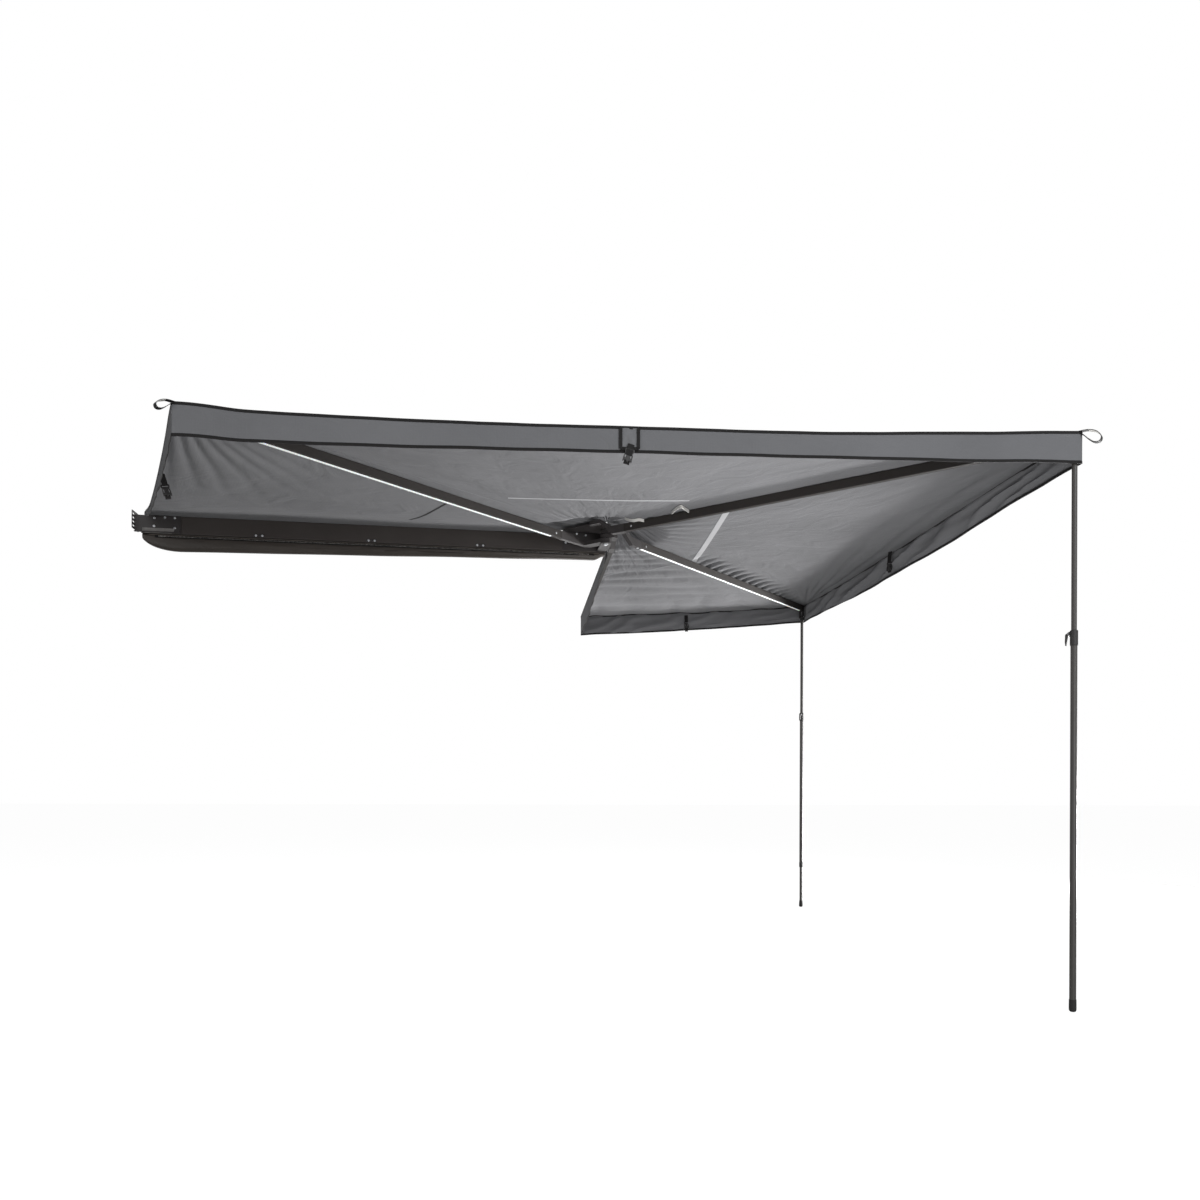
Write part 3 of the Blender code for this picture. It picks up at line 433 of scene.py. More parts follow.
# %% The rule of the roof
def roof(panel, t, u, creased=True):
    """A point of the roof's underside, from the knuckle axis."""
    first, second, _, sag = PANELS[panel]
    x, y = edge_point(panel, t, u)
    start, end = seam(first, u), seam(second, u)
    width = hypot(start[0] - end[0], start[1] - end[1])
    flat = ARM_WIDTH + 0.012 + ARMS[second]["row"] * (1 - u)
    to_first, to_second = t * width - 0.03, (1 - t) * width - flat
    low = sag * 4 * t * (1 - t) * u ** 1.5
    low *= smooth(to_second / 0.30) * smooth(to_first / 0.20)
    if panel == 2:
        low += 0.010 * smooth(t / 0.08) * (1 - smooth((t - 0.10) / 0.45)) * u ** 4
    z = tent(x, y)
    if first == "rail":
        z = max(z, lerp(RAIL_TOP + 0.0003, CLOTH_GAP, smooth((RAIL_FRONT - 0.004 - y) / 0.40)))
    add = folds(panel, x, y, t, u) if creased else 0.0
    if add < 0:
        add *= smooth(to_second / 0.10) * smooth(to_first / 0.08)
    return Vector((x, y, z - low + add))


print("hub height", round(roof(2, 0.5, 0.02).z, 4), "edge height", round(roof(2, 0.5, 1.0).z, 4))

# %% [markdown]
# Every sheet starts as a flat grid. Its points are moved by the rule, its UV map is scaled to metres, and
# Solidify gives it the thickness of cloth. Each point also keeps its share, how far it lies from the seam on the
# first arm to the seam on the second.

# %% Lay a sheet by a rule
OPENED = {"rail": 0.0, **{key: arm["open"] for key, arm in ARMS.items()}}


def lay_cloth(name, columns, rows, rule, size, finish, thickness=CLOTH, face_up=False):
    """rule(a, b) gives a point from the knuckle axis and its share. Face up, a sheet lies on top of its points."""
    bpy.ops.mesh.primitive_grid_add(x_subdivisions=columns, y_subdivisions=rows, size=1)
    piece = bpy.context.object
    piece.name = piece.data.name = name
    shares = piece.data.attributes.new("share", "FLOAT", "POINT")
    for vert, share in zip(piece.data.vertices, shares.data):
        point, share.value = rule(vert.co.x + 0.5, vert.co.y + 0.5)
        vert.co = AXIS + point
    for loop in piece.data.uv_layers.active.data:
        loop.uv = (loop.uv[0] * size[0], loop.uv[1] * size[1])
    if face_up and sum(face.normal.z for face in piece.data.polygons) < 0:
        piece.data.flip_normals()
    shell = piece.modifiers.new("thickness", "SOLIDIFY")
    shell.thickness, shell.offset = thickness, 1.0 if face_up else 0.0
    bpy.ops.object.modifier_apply(modifier=shell.name)
    turn_outwards(piece)
    piece.data.materials.append(finish)
    bpy.ops.object.shade_smooth_by_angle(angle=radians(50))
    return piece


def turn_outwards(piece):
    """Turns a closed mesh's faces so that they all point out."""
    bm = bmesh.new()
    bm.from_mesh(piece.data)
    if bm.calc_volume(signed=True) < 0:
        bmesh.ops.reverse_faces(bm, faces=bm.faces)
        bm.to_mesh(piece.data)
    bm.free()


def seam_turn(key):
    """How far a seam is opened, in degrees. It lies a little behind its arm."""
    return OPENED[key] - degrees(atan(ARMS[key]["row"] / ARMS[key]["reach"]))


def fold_between(piece, first, second, stiff=False):
    """Works out each point's share of the way from the first arm's turn to the second's, counted in turns of arm
    b, which stays under half a turn. The share is half by the panel and half by the angle round the pin, which
    gathers the cloth closer. A stiff piece gets one share for all. The shares are not stored and nothing turns."""
    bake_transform(piece)
    shares = [item.value for item in piece.data.attributes["share"].data]
    if first != "rail":
        start, end = seam_turn(first), seam_turn(second)
        for i, vert in enumerate(piece.data.vertices):
            opened = (degrees(atan2(vert.co.y - AXIS.y, vert.co.x - AXIS.x)) - 180) % 360
            shares[i] = (shares[i] + min(max((opened - start) / (end - start), 0.0), 1.0)) / 2
    if stiff:
        shares = [sum(shares) / len(shares)] * len(shares)
    return piece


CLOSER_AT_HUB = 1.2
for panel, (first, second, *_) in PANELS.items():
    def panel_rule(a, b, panel=panel, first=first):
        t = a * a if first == "rail" else a
        return roof(panel, t, b ** CLOSER_AT_HUB), t

    width = path_length([roof(panel, i / 20, 1.0) for i in range(21)])
    piece = lay_cloth("roof_cloth_" + str(panel), 130, 220, panel_rule, (width, ARMS[second]["reach"]), canvas,
                      face_up=True)
    fold_between(piece, first, second)
    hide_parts("canopy_panel_" + str(panel))

# %% [markdown]
# ## The valances
# A band of the same cloth hangs from the outer edge of each panel and is bound top and bottom with black tape.
# The band along the rail side gets narrow towards the wall, as on the real one. It flutters more at its hem than
# at its top. The band on the right is slack, and slanting creases run across it. The last band hangs from arm d.


# %% Valance bands
STAND_OFF, SEAM_LIFT = 0.0025, 0.0012
CORNER_ROOM = 0.006


def valance_rule(panel, heights, insets, long_folds=0.0):
    """heights are those of the band at its first end, its middle and its second end."""
    middle = RAIL_FRONT if PANELS[panel][0] == "rail" else 0.0

    def rule(a, b):
        t = lerp(insets[0], 1 - insets[1], a)
        top = roof(panel, t, 1.0, creased=False)
        lift = roof(panel, t, 1.0).z - top.z
        length = hypot(top.x, top.y - middle)
        out = 1 + STAND_OFF / length
        drop = lerp(heights[0], heights[2], t) + (heights[1] - (heights[0] + heights[2]) / 2) * 4 * t * (1 - t)
        ends = smooth(a / 0.06) * smooth((1 - a) / 0.06)
        flutter = 0.004 * uneven(t * 11.0, b * 1.2, panel) + 0.0016 * sin(t * 61 + panel)
        flutter += long_folds * uneven(t * 4.0 + b, b * 3.2, 11.0)
        out += flutter * (1 - b) * ends / length
        slant = ridge(42.0 * t + 10.0 * b + 5.0 * uneven(t * 5.0, b, 4.0), 1.6)
        out -= 0.85 * long_folds * slant * smooth(b * 4) * smooth((1 - b) * 5) * ends / length
        to_corner = {2: 1 - t, 3: t}.get(panel, 1.0)
        out += CORNER_ROOM * exp(-(to_corner / 0.012) ** 2) / length
        z = top.z + lift * b ** 3 + SEAM_LIFT - drop * (1 - b)
        return Vector((top.x * out, middle + (top.y - middle) * out, z)), t

    return rule


def end_rule(a, b):
    along = lerp(0.30, ARMS["d"]["reach"] - 0.002, a)
    drop = lerp(0.055, LAST_VALANCE, smooth(a * 1.4))
    ripple = 0.003 * sin(a * 40) * (1 - b) * smooth(a / 0.1) * smooth((1 - a) / 0.1)
    x, y = arm_point("d", along, LAST_EDGE + 0.0006 + ripple)
    return Vector((x, y, tent(x, y) + SEAM_LIFT - drop * (1 - b))), 1.0


shallow = VALANCE - PANELS[2][3] + 0.004  # the near hem is straighter than the edge that sags above it
BANDS = {
    "left": (1, valance_rule(1, (0.022, 0.070, VALANCE), (0.045, 0.0006))),
    "near": (2, valance_rule(2, (VALANCE, shallow, VALANCE), (0.0006, 0.0006))),
    "right": (3, valance_rule(3, (VALANCE, VALANCE + 0.003, VALANCE), (0.0006, 0.0006), 0.030)),
    "far": (4, valance_rule(4, (VALANCE, VALANCE + 0.008, LAST_VALANCE), (0.0006, 0.0010), 0.010)),
    "end": (4, end_rule),
}


BINDING = 0.011
for side, (panel, rule) in BANDS.items():
    first, second = PANELS[panel][:2]
    long = path_length([rule(i / 60, 1.0)[0] for i in range(61)])
    band = lay_cloth("valance_band_" + side, 180, 14, rule, (long, VALANCE), canvas)

    def bind(b_edge, inward):
        def tape_rule(a, b):
            point, share = rule(a, b_edge)
            return point + Vector((0, 0, inward * BINDING * (b - 0.12))), share
        return tape_rule

    top = lay_cloth("valance_top_tape_" + side, 180, 3, bind(1.0, -1), (long, BINDING), webbing, 0.0032)
    hem = lay_cloth("valance_hem_tape_" + side, 180, 3, bind(0.0, 1), (long, BINDING), webbing, 0.0030)
    for piece in (band, top, hem):
        if side == "end":
            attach(piece, "arm_d")
        else:
            fold_between(piece, first, second)
    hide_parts("valance_" + side)
    print(band.name, "is", round(long, 3), "m long")

# %% [markdown]
# ## Seams and tapes under the roof
# The roof is cut in pieces. A cross seam runs round the hub, from arm to arm, and is sealed underneath with tape,
# which shows as a thin line, pale in most panels. A long seam of the roof's own cloth follows each arm. The cross
# seams are straight lines on the roof, so each of their points is looked up in the panel: Newton's rule finds the
# t and u that lead to it.


# %% Seam tapes
def find_place(panel, x, y, t=0.5, u=0.4):
    """The t and u of a point of the panel seen from above."""
    step = 1e-4
    for _ in range(12):
        here, across, out = (Vector(edge_point(panel, *where)) for where in ((t, u), (t + step, u), (t, u + step)))
        change = Matrix(((across - here) / step, (out - here) / step)).transposed()
        move = change.inverted() @ (Vector((x, y)) - here)
        t, u = min(max(t + move.x, 0.0), 1.0), min(max(u + move.y, 0.01), 1.0)
    return t, u


# each panel's cross seam: its two ends, its width and its finish
CROSS_SEAMS = {1: ((-1.000, -0.080), (-0.790, -0.440), 0.010, webbing),
               2: ((-0.525, -0.535), (0.302, -0.645), 0.012, pale_tape),
               3: ((0.515, -0.560), (0.583, 0.480), 0.028, pale_tape),
               4: ((0.506, 0.562), (0.080, 0.972), 0.013, seam_tape)}
TAPE = 0.013
for panel, (start, end, wide, tape_finish) in CROSS_SEAMS.items():
    way = (Vector(end) - Vector(start)).normalized()
    across = Vector((-way.y, way.x))

    def tape_rule(a, b, panel=panel, start=Vector(start), end=Vector(end), across=across, wide=wide):
        flat = start.lerp(end, a) + across * wide * (b - 0.5)
        t, u = find_place(panel, flat.x, flat.y)
        return roof(panel, t, u) - Vector((0, 0, 0.0005)), t

    piece = lay_cloth("cross_seam_tape_" + str(panel), 70, 2, tape_rule, ((Vector(end) - Vector(start)).length, wide),
                      tape_finish, 0.0008)
    fold_between(piece, *PANELS[panel][:2])

for panel in (1, 2, 3):
    key = PANELS[panel][1]

    def along_rule(a, b, panel=panel, key=key):
        u = lerp(0.03, 0.985, a)
        below = roof(panel, 0.9999, u, creased=False)
        side = radians(180 + ARMS[key]["open"])
        shift = TAPE * (b - 0.5)
        return below + Vector((-sin(side) * shift, cos(side) * shift, -0.0005)), 1.0

    piece = lay_cloth("arm_seam_tape_" + key, 90, 2, along_rule, (ARMS[key]["reach"], TAPE), canvas, 0.0008)
    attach(piece, "arm_" + key)
print("seam tapes laid")

# %% [markdown]
# ## Screws and the bracket's lip
# The bracket, the knuckle's web and the strap clips are held by button head screws with a hexagon socket. One is
# modelled: a cylinder whose top is inset and sunk for the socket, and whose rim is bevelled into a dome. It is
# copied to each place and all of them become one piece. The bracket's lower edge is bent outwards, and its coat is
# painted paler, as the highlight where light catches that edge.

# %% One button head screw and its copies
def pick_top(piece, level, near):
    """Selects the faces that look up at least so much, within a distance of the origin."""
    bpy.ops.mesh.select_all(action="DESELECT")
    bm = bmesh.from_edit_mesh(piece.data)
    for face in bm.faces:
        face.select = face.normal.z > level and face.calc_center_median().length < near
    bmesh.update_edit_mesh(piece.data)


def button_screw(radius, height):
    bpy.ops.mesh.primitive_cylinder_add(vertices=24, radius=radius, depth=height, location=(0, 0, 0))
    screw = bpy.context.object
    bpy.ops.object.mode_set(mode="EDIT")
    bpy.ops.mesh.select_mode(type="FACE")
    pick_top(screw, 0.9, radius)
    bpy.ops.mesh.bevel(offset=height * 0.62, segments=3, affect="EDGES")
    pick_top(screw, 0.999, height)
    bpy.ops.mesh.inset(thickness=radius * 0.22)
    bpy.ops.mesh.extrude_region_move(TRANSFORM_OT_translate={"value": (0, 0, -height * 0.55)})
    bpy.ops.object.mode_set(mode="OBJECT")
    return screw


def copy_at(pattern, point, turn):
    """A copy of a piece, turned and moved to a point from the knuckle axis."""
    copy = pattern.copy()
    copy.data = pattern.data.copy()
    bpy.context.scene.collection.objects.link(copy)
    copy.data.transform(Matrix.Translation(AXIS + Vector(point)) @ turn.to_4x4())
    return copy


def place_copies(pattern, name, places, finish):
    """Copies the pattern to each (point from the knuckle axis, direction it faces) and joins the copies."""
    copies = [copy_at(pattern, point, Vector(facing).to_track_quat("Z", "Y").to_matrix()) for point, facing in places]
    bpy.ops.object.select_all(action="DESELECT")
    for copy in copies:
        copy.select_set(True)
    bpy.context.view_layer.objects.active = copies[0]
    if len(copies) > 1:
        bpy.ops.object.join()
    piece = copies[0]
    piece.name = piece.data.name = name
    piece.data.materials.clear()
    piece.data.materials.append(finish)
    bpy.ops.object.shade_smooth_by_angle(angle=radians(35))
    return piece


SCREW, HEAD = 0.0058, 0.0026
pattern = button_screw(SCREW, HEAD)
FACE = RAIL_FRONT - 0.0033 - HEAD / 2
bracket_places = ((-2.276, 0.026), (-2.226, 0.030), (-2.179, 0.030), (-2.278, -0.015), (-2.179, -0.021))
web_places = ((-0.202, 0.042), (-0.138, 0.044), (-0.089, 0.038), (-0.197, -0.006), (-0.143, -0.009),
              (-0.061, -0.014))
rail_screws = [((x, FACE, z), (0, -1, 0)) for x, z in bracket_places + web_places]
FIRST_CLIP, CLIP_PITCH = 0.672, 0.560
CLIPS = [RAIL_RIGHT - FIRST_CLIP - CLIP_PITCH * i for i in range(3)]
CLIP_HEIGHT = RAIL_LOW + 0.0095
clip_face = RAIL_FRONT - 0.0023 - HEAD / 2
clip_screws = [((x + side * 0.0155, clip_face, CLIP_HEIGHT), (0, -1, 0)) for x in CLIPS for side in (-1, 1)]
for name, places in (("rail_screws", rail_screws), ("clip_screws", clip_screws)):
    screws = place_copies(pattern, name, places, zinc)
    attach(screws, "rail")
arm_screw = place_copies(pattern, "arm_c_under_screw",
                         [((*arm_point("c", 0.180, -ARMS["c"]["row"]), -ARM_HEIGHT - HEAD / 2), (0, 0, -1))], zinc)
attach(arm_screw, "arm_c")
bpy.data.objects.remove(pattern)


LIP_LEFT, LIP_RIGHT, LIP_TOP, LIP = -2.333, -2.180, -0.025, 0.024


def lip_rule(a, b):
    """The bent lower edge of the mount bracket, rounded off at its right end."""
    high = LIP * sqrt(max(1 - max((a - 0.86) / 0.14, 0.0) ** 2, 0.03))
    out = RAIL_FRONT - 0.0062 + 0.006 * (1 - b) * high / LIP
    return Vector((lerp(LIP_LEFT, LIP_RIGHT, a), out, LIP_TOP - high * (1 - b))), 0.0


# The lip's paler coat is a painted highlight where light catches its bent edge.
lip_painted_highlight_steel = coat("coated_steel_painted_highlight", "#6d6a68", 0.38, "#5c5957", "#7e7b79", 0.02, (0.30, 0.46))
lip = lay_cloth("bracket_lip", 40, 4, lip_rule, (LIP_RIGHT - LIP_LEFT, LIP), lip_painted_highlight_steel, 0.0022)
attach(lip, "rail")
print("screws placed", len(rail_screws) + len(clip_screws) + 1)

# %% [markdown]
# ## The storage bag
# The bag is a sleeve of coated canvas that hangs under the rail while the awning is open. It is empty, so it
# sags, deepest at its left end, and creases run along it. It is lofted: rings round the sleeve, one after another
# along the rail, each with its own height and a little noise, and both ends closed.


# %% Bag shell
BAG_DEPTH, BAG_DEEP_LEFT, BAG_DEEP_RIGHT = 0.052, 0.084, 0.036
BAG_THINNEST, BAG_GIRTH = 0.014, 0.28
SQUARENESS = 0.7  # 1 gives an oval sleeve, less gives a squarer one
BAG_LEFT, BAG_RIGHT = RAIL_LEFT + 0.004, RAIL_RIGHT - 0.004


def bag_height(x):
    t = (x - BAG_LEFT) / (BAG_RIGHT - BAG_LEFT)
    full = lerp(BAG_DEEP_LEFT, BAG_DEEP_RIGHT, smooth(t) * 0.35 + t * 0.65)
    rise = min((x - BAG_LEFT + 0.012) / 0.20, 1.0)
    ends = sqrt(1 - (1 - rise) ** 2) * smooth((BAG_RIGHT - x + 0.025) / 0.09)
    return max(full * ends, BAG_THINNEST)


def bag_point(x, round_it):
    """A point of the sleeve; round_it goes from 0 at the back of the top, by the front, to 1 at the back again."""
    turn = 2 * pi * (0.25 - round_it) + pi
    across = abs(cos(turn)) ** SQUARENESS * (1 if cos(turn) > 0 else -1)
    up = abs(sin(turn)) ** SQUARENESS * (1 if sin(turn) > 0 else -1)
    height = bag_height(x)
    swell = 1 - 0.16 * smooth(-up) + 0.05 * sin(x * 9.0 + 2.0 * up)
    crease = uneven(x * 2.2, up * 3.6, 1.0) * 0.0055
    crease += uneven(x * 9, up * 9, 7.0) * 0.003
    pull = sum(exp(-((x - clip) / 0.10) ** 2) for clip in CLIPS)
    crease += 0.0016 * pull * sin(x * 150) * smooth(up + 0.4)
    loose = smooth((height - BAG_THINNEST) / 0.02)
    hollow = (1 - abs(up) ** 3) * loose
    y = RAIL_FRONT + RAIL_DEPTH / 2 - 0.001 + across * (BAG_DEPTH / 2 * swell + crease * hollow - 0.0006)
    slack = uneven(x * 3.0, 0.0, 5.0) * 0.0025 * smooth(-up) * loose
    return Vector((x, y, RAIL_LOW - 0.0004 - height * (1 - up) / 2 + slack))


RINGS, ROUND = 260, 44
bpy.ops.mesh.primitive_grid_add(x_subdivisions=RINGS, y_subdivisions=ROUND, size=1)
bag = bpy.context.object
bag.name = bag.data.name = "bag_shell"
for vert in bag.data.vertices:
    along, round_it = vert.co.x + 0.5, (vert.co.y + 0.5) % 1.0
    vert.co = AXIS + bag_point(lerp(BAG_LEFT, BAG_RIGHT, along), round_it)
for loop in bag.data.uv_layers.active.data:
    loop.uv = (loop.uv[0] * (BAG_RIGHT - BAG_LEFT), loop.uv[1] * BAG_GIRTH)
bpy.ops.object.mode_set(mode="EDIT")
bpy.ops.mesh.select_all(action="SELECT")
bpy.ops.mesh.remove_doubles(threshold=0.00001)
bpy.ops.mesh.fill_holes(sides=ROUND + 2)
bpy.ops.mesh.normals_make_consistent(inside=False)
bpy.ops.object.mode_set(mode="OBJECT")
bag.data.materials.append(bag_cloth)
bpy.ops.object.shade_smooth_by_angle(angle=radians(60))
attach(bag, "rail")
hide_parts("storage_bag")
print("bag of", len(bag.data.polygons), "faces")

# %% [markdown]
# A piping cord edges the bag under the rail, and a zip with a metal chain runs below it. The tape and the chain
# follow the sleeve's front. One tooth is modelled and an Array lays the rest, as the teeth are clamped on a tape.
# The teeth are cast metal, blackened and rubbed bright in patches.

# %% Piping and zip
def round_at(x, depth):
    """How far round the sleeve the front lies at a depth under the rail."""
    up = 1 - 2 * depth / bag_height(x)
    return 0.25 + (1 if up > 0 else -1) * asin(min(abs(up), 1.0) ** (1 / SQUARENESS)) / (2 * pi)


def front_strip(name, inset, low, high, finish, thickness, proud):
    """A strip on the front of the bag between two depths under the rail, short of both ends by the inset."""
    left, right = BAG_LEFT + inset, BAG_RIGHT - inset

    def rule(a, b):
        x = lerp(left, right, a)
        point = bag_point(x, round_at(x, lerp(high, low, b)))
        return point + Vector((0, -proud, 0)), 0.0

    strip = lay_cloth(name, 200, 3, rule, (right - left, 0.02), finish, thickness)
    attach(strip, "rail")


front_strip("bag_piping", 0.03, 0.0060, 0.0020, piping_cloth, 0.0040, 0.0005)
front_strip("zip_tape", 0.06, 0.0200, 0.0070, webbing, 0.0014, 0.0006)
zip_metal = coat("black_oxide_zip_chain", "#9a9692", 0.30, "#4b4846", "#e6e2dd", 0.012, (0.22, 0.45), 0.9)
TOOTH = (0.0032, 0.0022, 0.0060)
bpy.ops.mesh.primitive_cube_add(size=1, scale=TOOTH, location=(0, 0, 0))
tooth = bpy.context.object
bpy.ops.object.transform_apply(location=False, rotation=False, scale=True)
bpy.ops.object.mode_set(mode="EDIT")
bpy.ops.mesh.bevel(offset=0.0008, segments=1, affect="EDGES")
bpy.ops.object.mode_set(mode="OBJECT")
row = tooth.modifiers.new("row", "ARRAY")
PITCH, CHAIN_INSET, CHAIN_DEPTH = 0.0064, 0.08, 0.0125
row.count = int((BAG_RIGHT - BAG_LEFT - 2 * CHAIN_INSET) / PITCH)
print("zip teeth", row.count)
row.use_relative_offset, row.use_constant_offset = False, True
row.constant_offset_displace = (PITCH, 0, 0)
bpy.ops.object.modifier_apply(modifier=row.name)
for vert in tooth.data.vertices:
    x = BAG_LEFT + CHAIN_INSET + vert.co.x
    line = bag_point(x, round_at(x, CHAIN_DEPTH))
    vert.co = AXIS + line + Vector((0, vert.co.y - TOOTH[1], vert.co.z))
tooth.name = tooth.data.name = "zip_chain"
tooth.data.materials.append(zip_metal)
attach(tooth, "rail")

# %% [markdown]
# ## Webbing
# Flat nylon webbing makes the pull loops at the outer corners, the tabs under the roof near the hub and the
# straps of the buckles. A strap is a ribbon that follows a path, with a direction across it.


# %% Ribbons along a path
def ribbon(name, path, across, width, finish, thickness=0.0016, share=1.0):
    """path is a list of points from the knuckle axis. It is smoothed by a Catmull-Rom curve."""
    points = [Vector(point) for point in path]
    points = [2 * points[0] - points[1]] + points + [2 * points[-1] - points[-2]]
    pieces = len(points) - 3
    across = Vector(across).normalized()

    def rule(a, b):
        where = min(a * pieces, pieces - 1e-6)
        i, f = int(where), where - int(where)
        p, q, r, s = points[i:i + 4]
        point = 0.5 * (2 * q + (r - p) * f + (2 * p - 5 * q + 4 * r - s) * f ** 2
                       + (3 * q - p - 3 * r + s) * f ** 3)
        return point + across * width * (b - 0.5), share

    return lay_cloth(name, pieces * 7, 4, rule, (path_length(points[1:-1]), width), finish, thickness)


# How far inside the loop the pale sheet of painted light lies.
LIT_SHEET_OFFSET = 0.0017


def corner_loop(key, droop, size):
    """The pull loop sewn to the corner at the tip of an arm: black webbing, lined with painted light inside."""
    corner = Vector((*seam(key, 1.0), 0.0))
    out = corner.normalized()
    across = Vector((-out.y, out.x, 0))
    # outwards from the corner and up from the arm's top, once round the loop
    shape = ((-0.030, 0.0022), (0.0, 0.0030), (0.030, 0.0015), (0.058, -0.010), (0.074, -0.028 - droop),
             (0.068, -0.044 - droop), (0.050, -0.044 - droop), (0.030, -0.030 - droop / 2), (0.012, -0.012),
             (0.002, -0.004))
    path = [corner + out * r * size + Vector((0, 0, z * size)) for r, z in shape]
    outer = ribbon("corner_loop_" + key, path, across, 0.022, webbing)
    middle = sum(path[3:8], Vector()) / 5
    lit_sheet_path = [point + (middle - point).normalized() * LIT_SHEET_OFFSET for point in path[2:9]]
    inner = ribbon("corner_loop_painted_light_" + key, lit_sheet_path, across, 0.020, pale_webbing_and_painted_light, 0.0012)
    for piece in (outer, inner):
        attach(piece, "arm_" + key)


corner_loop("a", 0.0, 0.78)
corner_loop("b", 0.004, 1.0)

# points of each tab on panel 2, seen from above
HUB_TABS = (((0.064, -0.243), (0.080, -0.284), (0.099, -0.309), (0.124, -0.316), (0.148, -0.314)),
            ((0.257, -0.466), (0.264, -0.530), (0.277, -0.576), (0.305, -0.537), (0.334, -0.494)))
for number, line in enumerate(HUB_TABS):
    places = [find_place(2, *point) for point in line]
    path = [roof(2, *place) - Vector((0, 0, 0.010)) for place in places]
    tab = ribbon("hub_tab_" + str(number + 1), path, (0, 0, 1), 0.014, pale_webbing_and_painted_light, 0.0026, places[2][0])
    fold_between(tab, "a", "b", stiff=True)
print("webbing done")

# %% [markdown]
# ## Buckles
# Each open edge has a strap with a side release buckle that ties the rolled cloth up. The buckle is a nylon
# moulding: a bar for the webbing, a body with a waist and two windows, and two prongs.


# %% Side release buckle
BUCKLE_WIDTH, BUCKLE_LENGTH = 0.034, 0.048


def buckle_mesh():
    """A buckle that hangs down from the origin, with its width along x."""
    bpy.ops.mesh.primitive_grid_add(x_subdivisions=8, y_subdivisions=10, size=1)
    body = bpy.context.object
    bm = bmesh.new()
    bm.from_mesh(body.data)
    gone = []
    for face in bm.faces:
        x, y = face.calc_center_median()[:2]
        bar_window = 0.30 < y < 0.40 and abs(x) < 0.37
        side_window = -0.22 < y < 0.08 and 0.24 < abs(x) < 0.40
        notch = y < -0.40 and 0.12 < abs(x) < 0.38
        if bar_window or side_window or notch:
            gone.append(face)
    bmesh.ops.delete(bm, geom=gone, context="FACES")
    for vert in bm.verts:
        waist = 1 - 0.16 * exp(-((vert.co.y - 0.12) / 0.10) ** 2)
        vert.co = Vector((vert.co.x * BUCKLE_WIDTH * waist, 0.0, (vert.co.y - 0.5) * BUCKLE_LENGTH))
    bm.to_mesh(body.data)
    bm.free()
    wall = body.modifiers.new("wall", "SOLIDIFY")
    wall.thickness, wall.offset = 0.0075, 0.0
    edge = body.modifiers.new("edge", "BEVEL")
    edge.width, edge.segments, edge.limit_method = 0.0012, 2, "ANGLE"
    for modifier in (wall, edge):
        bpy.ops.object.modifier_apply(modifier=modifier.name)
    turn_outwards(body)
    return body


moulding = buckle_mesh()
print("buckle of", len(moulding.data.polygons), "faces")

# %% [markdown]
# Each buckle hangs on a strap from its band and has a loose tail of webbing.


# %% Hang the buckles
def hang_buckle(name, top, down, facing, panel, share, strap_length, tail_length):
    """A strap from top, then the buckle along down, with its broad side facing the given way."""
    down, facing = Vector(down).normalized(), Vector(facing)
    across = down.cross(facing).normalized()
    facing = across.cross(down)
    place = top + down * strap_length
    body = copy_at(moulding, place, Matrix((across, -facing, -down)).transposed())
    body.name = body.data.name = name
    turn_outwards(body)
    body.data.materials.append(nylon)
    bpy.ops.object.select_all(action="DESELECT")
    body.select_set(True)
    bpy.context.view_layer.objects.active = body
    bpy.ops.object.shade_smooth_by_angle(angle=radians(40))
    shares = body.data.attributes.new("share", "FLOAT", "POINT")
    shares.data.foreach_set("value", [share] * len(body.data.vertices))
    strap_path = [top + down * d + facing * f for d, f in ((-0.012, 0.001), (0.010, 0.003), (0.030, 0.004),
                                                           (strap_length + 0.006, 0.0045))]
    strap = ribbon(name + "_strap", strap_path, across, 0.024, webbing, 0.0018, share)
    tail_path = [place + down * (0.042 + d) - facing * f for d, f in ((0.0, 0.002), (0.012, 0.004),
                                                                      (tail_length, 0.009))]
    tail = ribbon(name + "_tail", tail_path, across, 0.022, webbing, 0.0018, share)
    for piece in (body, strap, tail):
        fold_between(piece, *PANELS[panel][:2], stiff=True)


def on_band(side, t, b):
    """A point on a valance by its share along and its height."""
    return BANDS[side][1](t, b)[0]


# of each side: panel, share along the band, height on it, offset, the way down, the way it faces, strap and tail
BUCKLES = {"near": (2, 0.4872, 0.17, (0, -0.008, 0.0), (-0.26, 0.02, -1), (0, -1, 0), 0.006, 0.010),
           "left": (1, 0.55, 0.6, (0.012, 0.0, 0.0), (0.28, 0.05, -1), (0.5, -0.9, 0), 0.034, 0.016),
           "right": (3, 0.50, 0.95, (-0.024, 0.0, -0.010), (-0.06, 0.0, -1), (-0.9, -0.4, 0), 0.045, 0.012),
           "far": (4, 0.512, 0.75, (0, -0.010, 0.0), (0.05, 0, -1), (0, -1, 0), 0.035, 0.03)}
for side, (panel, share, height, offset, down, facing, strap_length, tail_length) in BUCKLES.items():
    top = on_band(side, share, height) + Vector(offset)
    hang_buckle(side + "_buckle", top, down, facing, panel, share, strap_length, tail_length)
bpy.data.objects.remove(moulding)
print(len(BUCKLES), "buckles hung")

# %% [markdown]
# The near buckle hangs from a patch on the outside of its valance, bound with black tape on three sides.


# %% The bound patch
PATCH_LEFT, PATCH_RIGHT, PATCH_LOW, PATCH_TOP = 0.4765, 0.4962, 0.14, 0.96
patch_share = (PATCH_LEFT + PATCH_RIGHT) / 2


def patch_rule(a, b):
    wrinkle = 0.0030 * uneven(a * 3.4 + b * 1.5, b * 3.8, 15.0)
    on_cloth = on_band("near", lerp(PATCH_LEFT, PATCH_RIGHT, a), lerp(PATCH_LOW, PATCH_TOP - 0.03, b))
    return on_cloth + Vector((0, -0.0028 + wrinkle, 0)), patch_share


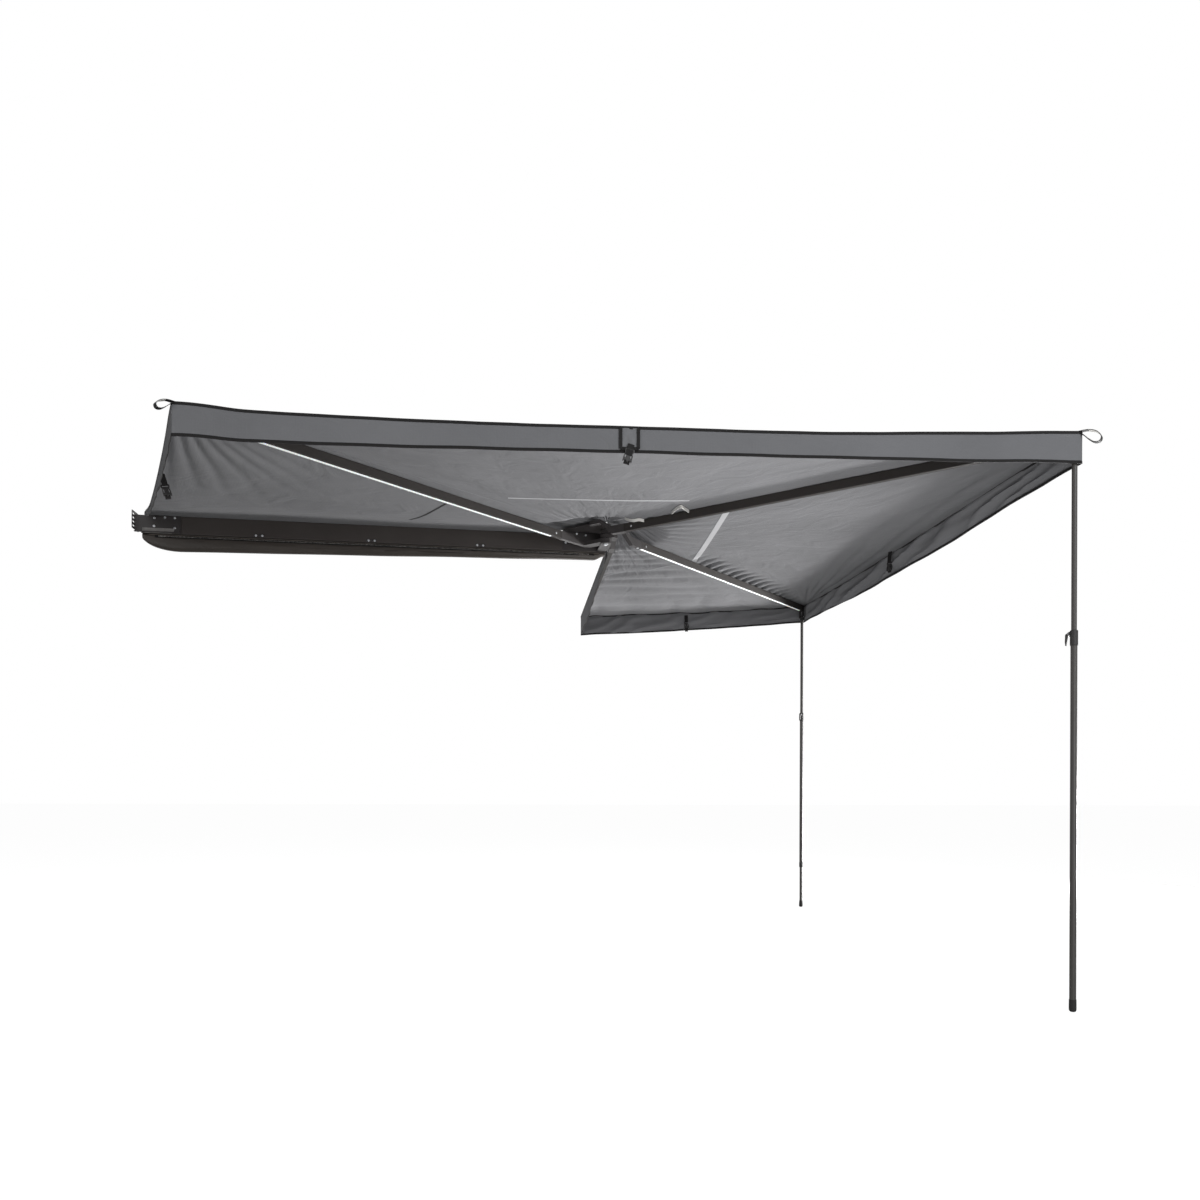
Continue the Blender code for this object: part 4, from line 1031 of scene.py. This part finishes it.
PATCH_TAPES = {"patch_left": ((PATCH_LEFT, PATCH_TOP), (PATCH_LEFT, PATCH_LOW), (1, 0, 0)),
               "patch_right": ((PATCH_RIGHT, PATCH_TOP), (PATCH_RIGHT, PATCH_LOW), (1, 0, 0)),
               "patch_foot": ((PATCH_LEFT, PATCH_LOW), (PATCH_RIGHT, PATCH_LOW), (0, 0, 1))}
for name, (start, end, across) in PATCH_TAPES.items():
    path = [on_band("near", lerp(start[0], end[0], i / 6), lerp(start[1], end[1], i / 6)) + Vector((0, -0.0062, 0))
            for i in range(7)]
    tape = ribbon(name, path, across, BINDING, webbing, 0.0022, patch_share)
    fold_between(tape, "a", "b", stiff=True)
inner = lay_cloth("patch_cloth", 24, 26, patch_rule, (0.085, 0.10), patch_cloth, 0.0008)
fold_between(inner, "a", "b", stiff=True)
print("patch of", len(PATCH_TAPES) + 1, "pieces")

# %% [markdown]
# ## The room
# White paper below and white all round, as in a product photograph. The camera and shiny metal see the backdrop
# as white, and the floor keeps a faint shadow.

# %% Floor and backdrop
world = bpy.data.worlds.new("studio")
bpy.context.scene.world = world
world.use_nodes = True
tree = world.node_tree
tree.nodes.clear()
rays = add_node(tree, "ShaderNodeLightPath")
seen = add_node(tree, "ShaderNodeMath", None, {0: rays.outputs["Is Camera Ray"], 1: rays.outputs["Is Glossy Ray"]},
                operation="MAXIMUM")
light = add_node(tree, "ShaderNodeBackground", {"Color": (1, 1, 1, 1), "Strength": 0.30})
white = add_node(tree, "ShaderNodeBackground", {"Color": (1, 1, 1, 1), "Strength": 1.0})
pick = add_node(tree, "ShaderNodeMixShader", None, {0: seen.outputs["Value"], 1: light.outputs["Background"],
                                                    2: white.outputs["Background"]})
add_node(tree, "ShaderNodeOutputWorld", None, {"Surface": pick.outputs["Shader"]})

FLOOR_SIZE = 120
bpy.ops.mesh.primitive_grid_add(x_subdivisions=8, y_subdivisions=8, size=FLOOR_SIZE,
                                location=(0, 0, AXIS.z + GROUND - 0.0005))
floor = bpy.context.object
floor.name = "floor"
paper = bpy.data.materials.new("white_paper")
paper.use_nodes = True
tree = paper.node_tree
tree.nodes.clear()
rays = add_node(tree, "ShaderNodeLightPath")
matt = add_node(tree, "ShaderNodeBsdfDiffuse", {"Color": linear("#b4b4b3")})
faint = add_node(tree, "ShaderNodeBsdfDiffuse", {"Color": linear("#737373")})
glow = add_node(tree, "ShaderNodeEmission", {"Color": (1, 1, 1, 1), "Strength": 0.93})
shown = add_node(tree, "ShaderNodeAddShader", None, {0: faint.outputs["BSDF"], 1: glow.outputs["Emission"]})
pick = add_node(tree, "ShaderNodeMixShader", None, {0: rays.outputs["Is Camera Ray"], 1: matt.outputs["BSDF"],
                                                    2: shown.outputs["Shader"]})
add_node(tree, "ShaderNodeOutputMaterial", None, {"Surface": pick.outputs["Shader"]})
floor.data.materials.append(paper)
print("floor at", round(AXIS.z + GROUND, 4))

# %% [markdown]
# The visible side of a roof is its underside, so the large soft lamps stand low: the strongest to the right, others
# in front and to the left. Two small ones even out the middle and the far end, and two stand high.


# %% Lamps
def add_lamp(name, place, aim, size, power, colour=(1.0, 1.0, 1.0)):
    """A round soft lamp of so many watts that looks from its place at its aim."""
    data = bpy.data.lights.new(name, "AREA")
    data.shape, data.size, data.energy, data.color = "DISK", size, power, colour
    lamp = bpy.data.objects.new(name, data)
    bpy.context.scene.collection.objects.link(lamp)
    lamp.location = place
    lamp.visible_camera = False
    lamp.rotation_euler = (Vector(aim) - Vector(place)).to_track_quat("-Z", "Y").to_euler()


add_lamp("key", (6.9, 1.8, -1.75), (0.6, 0.0, 0.0), 1.5, 730)
add_lamp("fill", (2.8, -7.5, -1.1), (0.3, -1.5, 0.0), 2.5, 115)
add_lamp("side", (-4.2, -4.6, -1.9), (0.8, 0.2, 0.0), 1.6, 60)
add_lamp("middle", (1.55, -1.45, -1.3), (1.35, -1.2, 0.0), 0.9, 14.0)
add_lamp("far", (1.15, 1.9, -1.3), (1.25, 1.0, 0.0), 0.8, 10.0)
add_lamp("front", (3.4, -6.5, 2.4), (0.6, -1.5, 0.0), 2.5, 138, (0.90, 0.95, 1.0))
add_lamp("top", (0.5, 1.0, 5.5), (0.5, 0.0, 0.0), 4.0, 150)
bpy.context.scene.view_settings.view_transform = "Standard"
print(len(bpy.data.lights), "lamps lit")
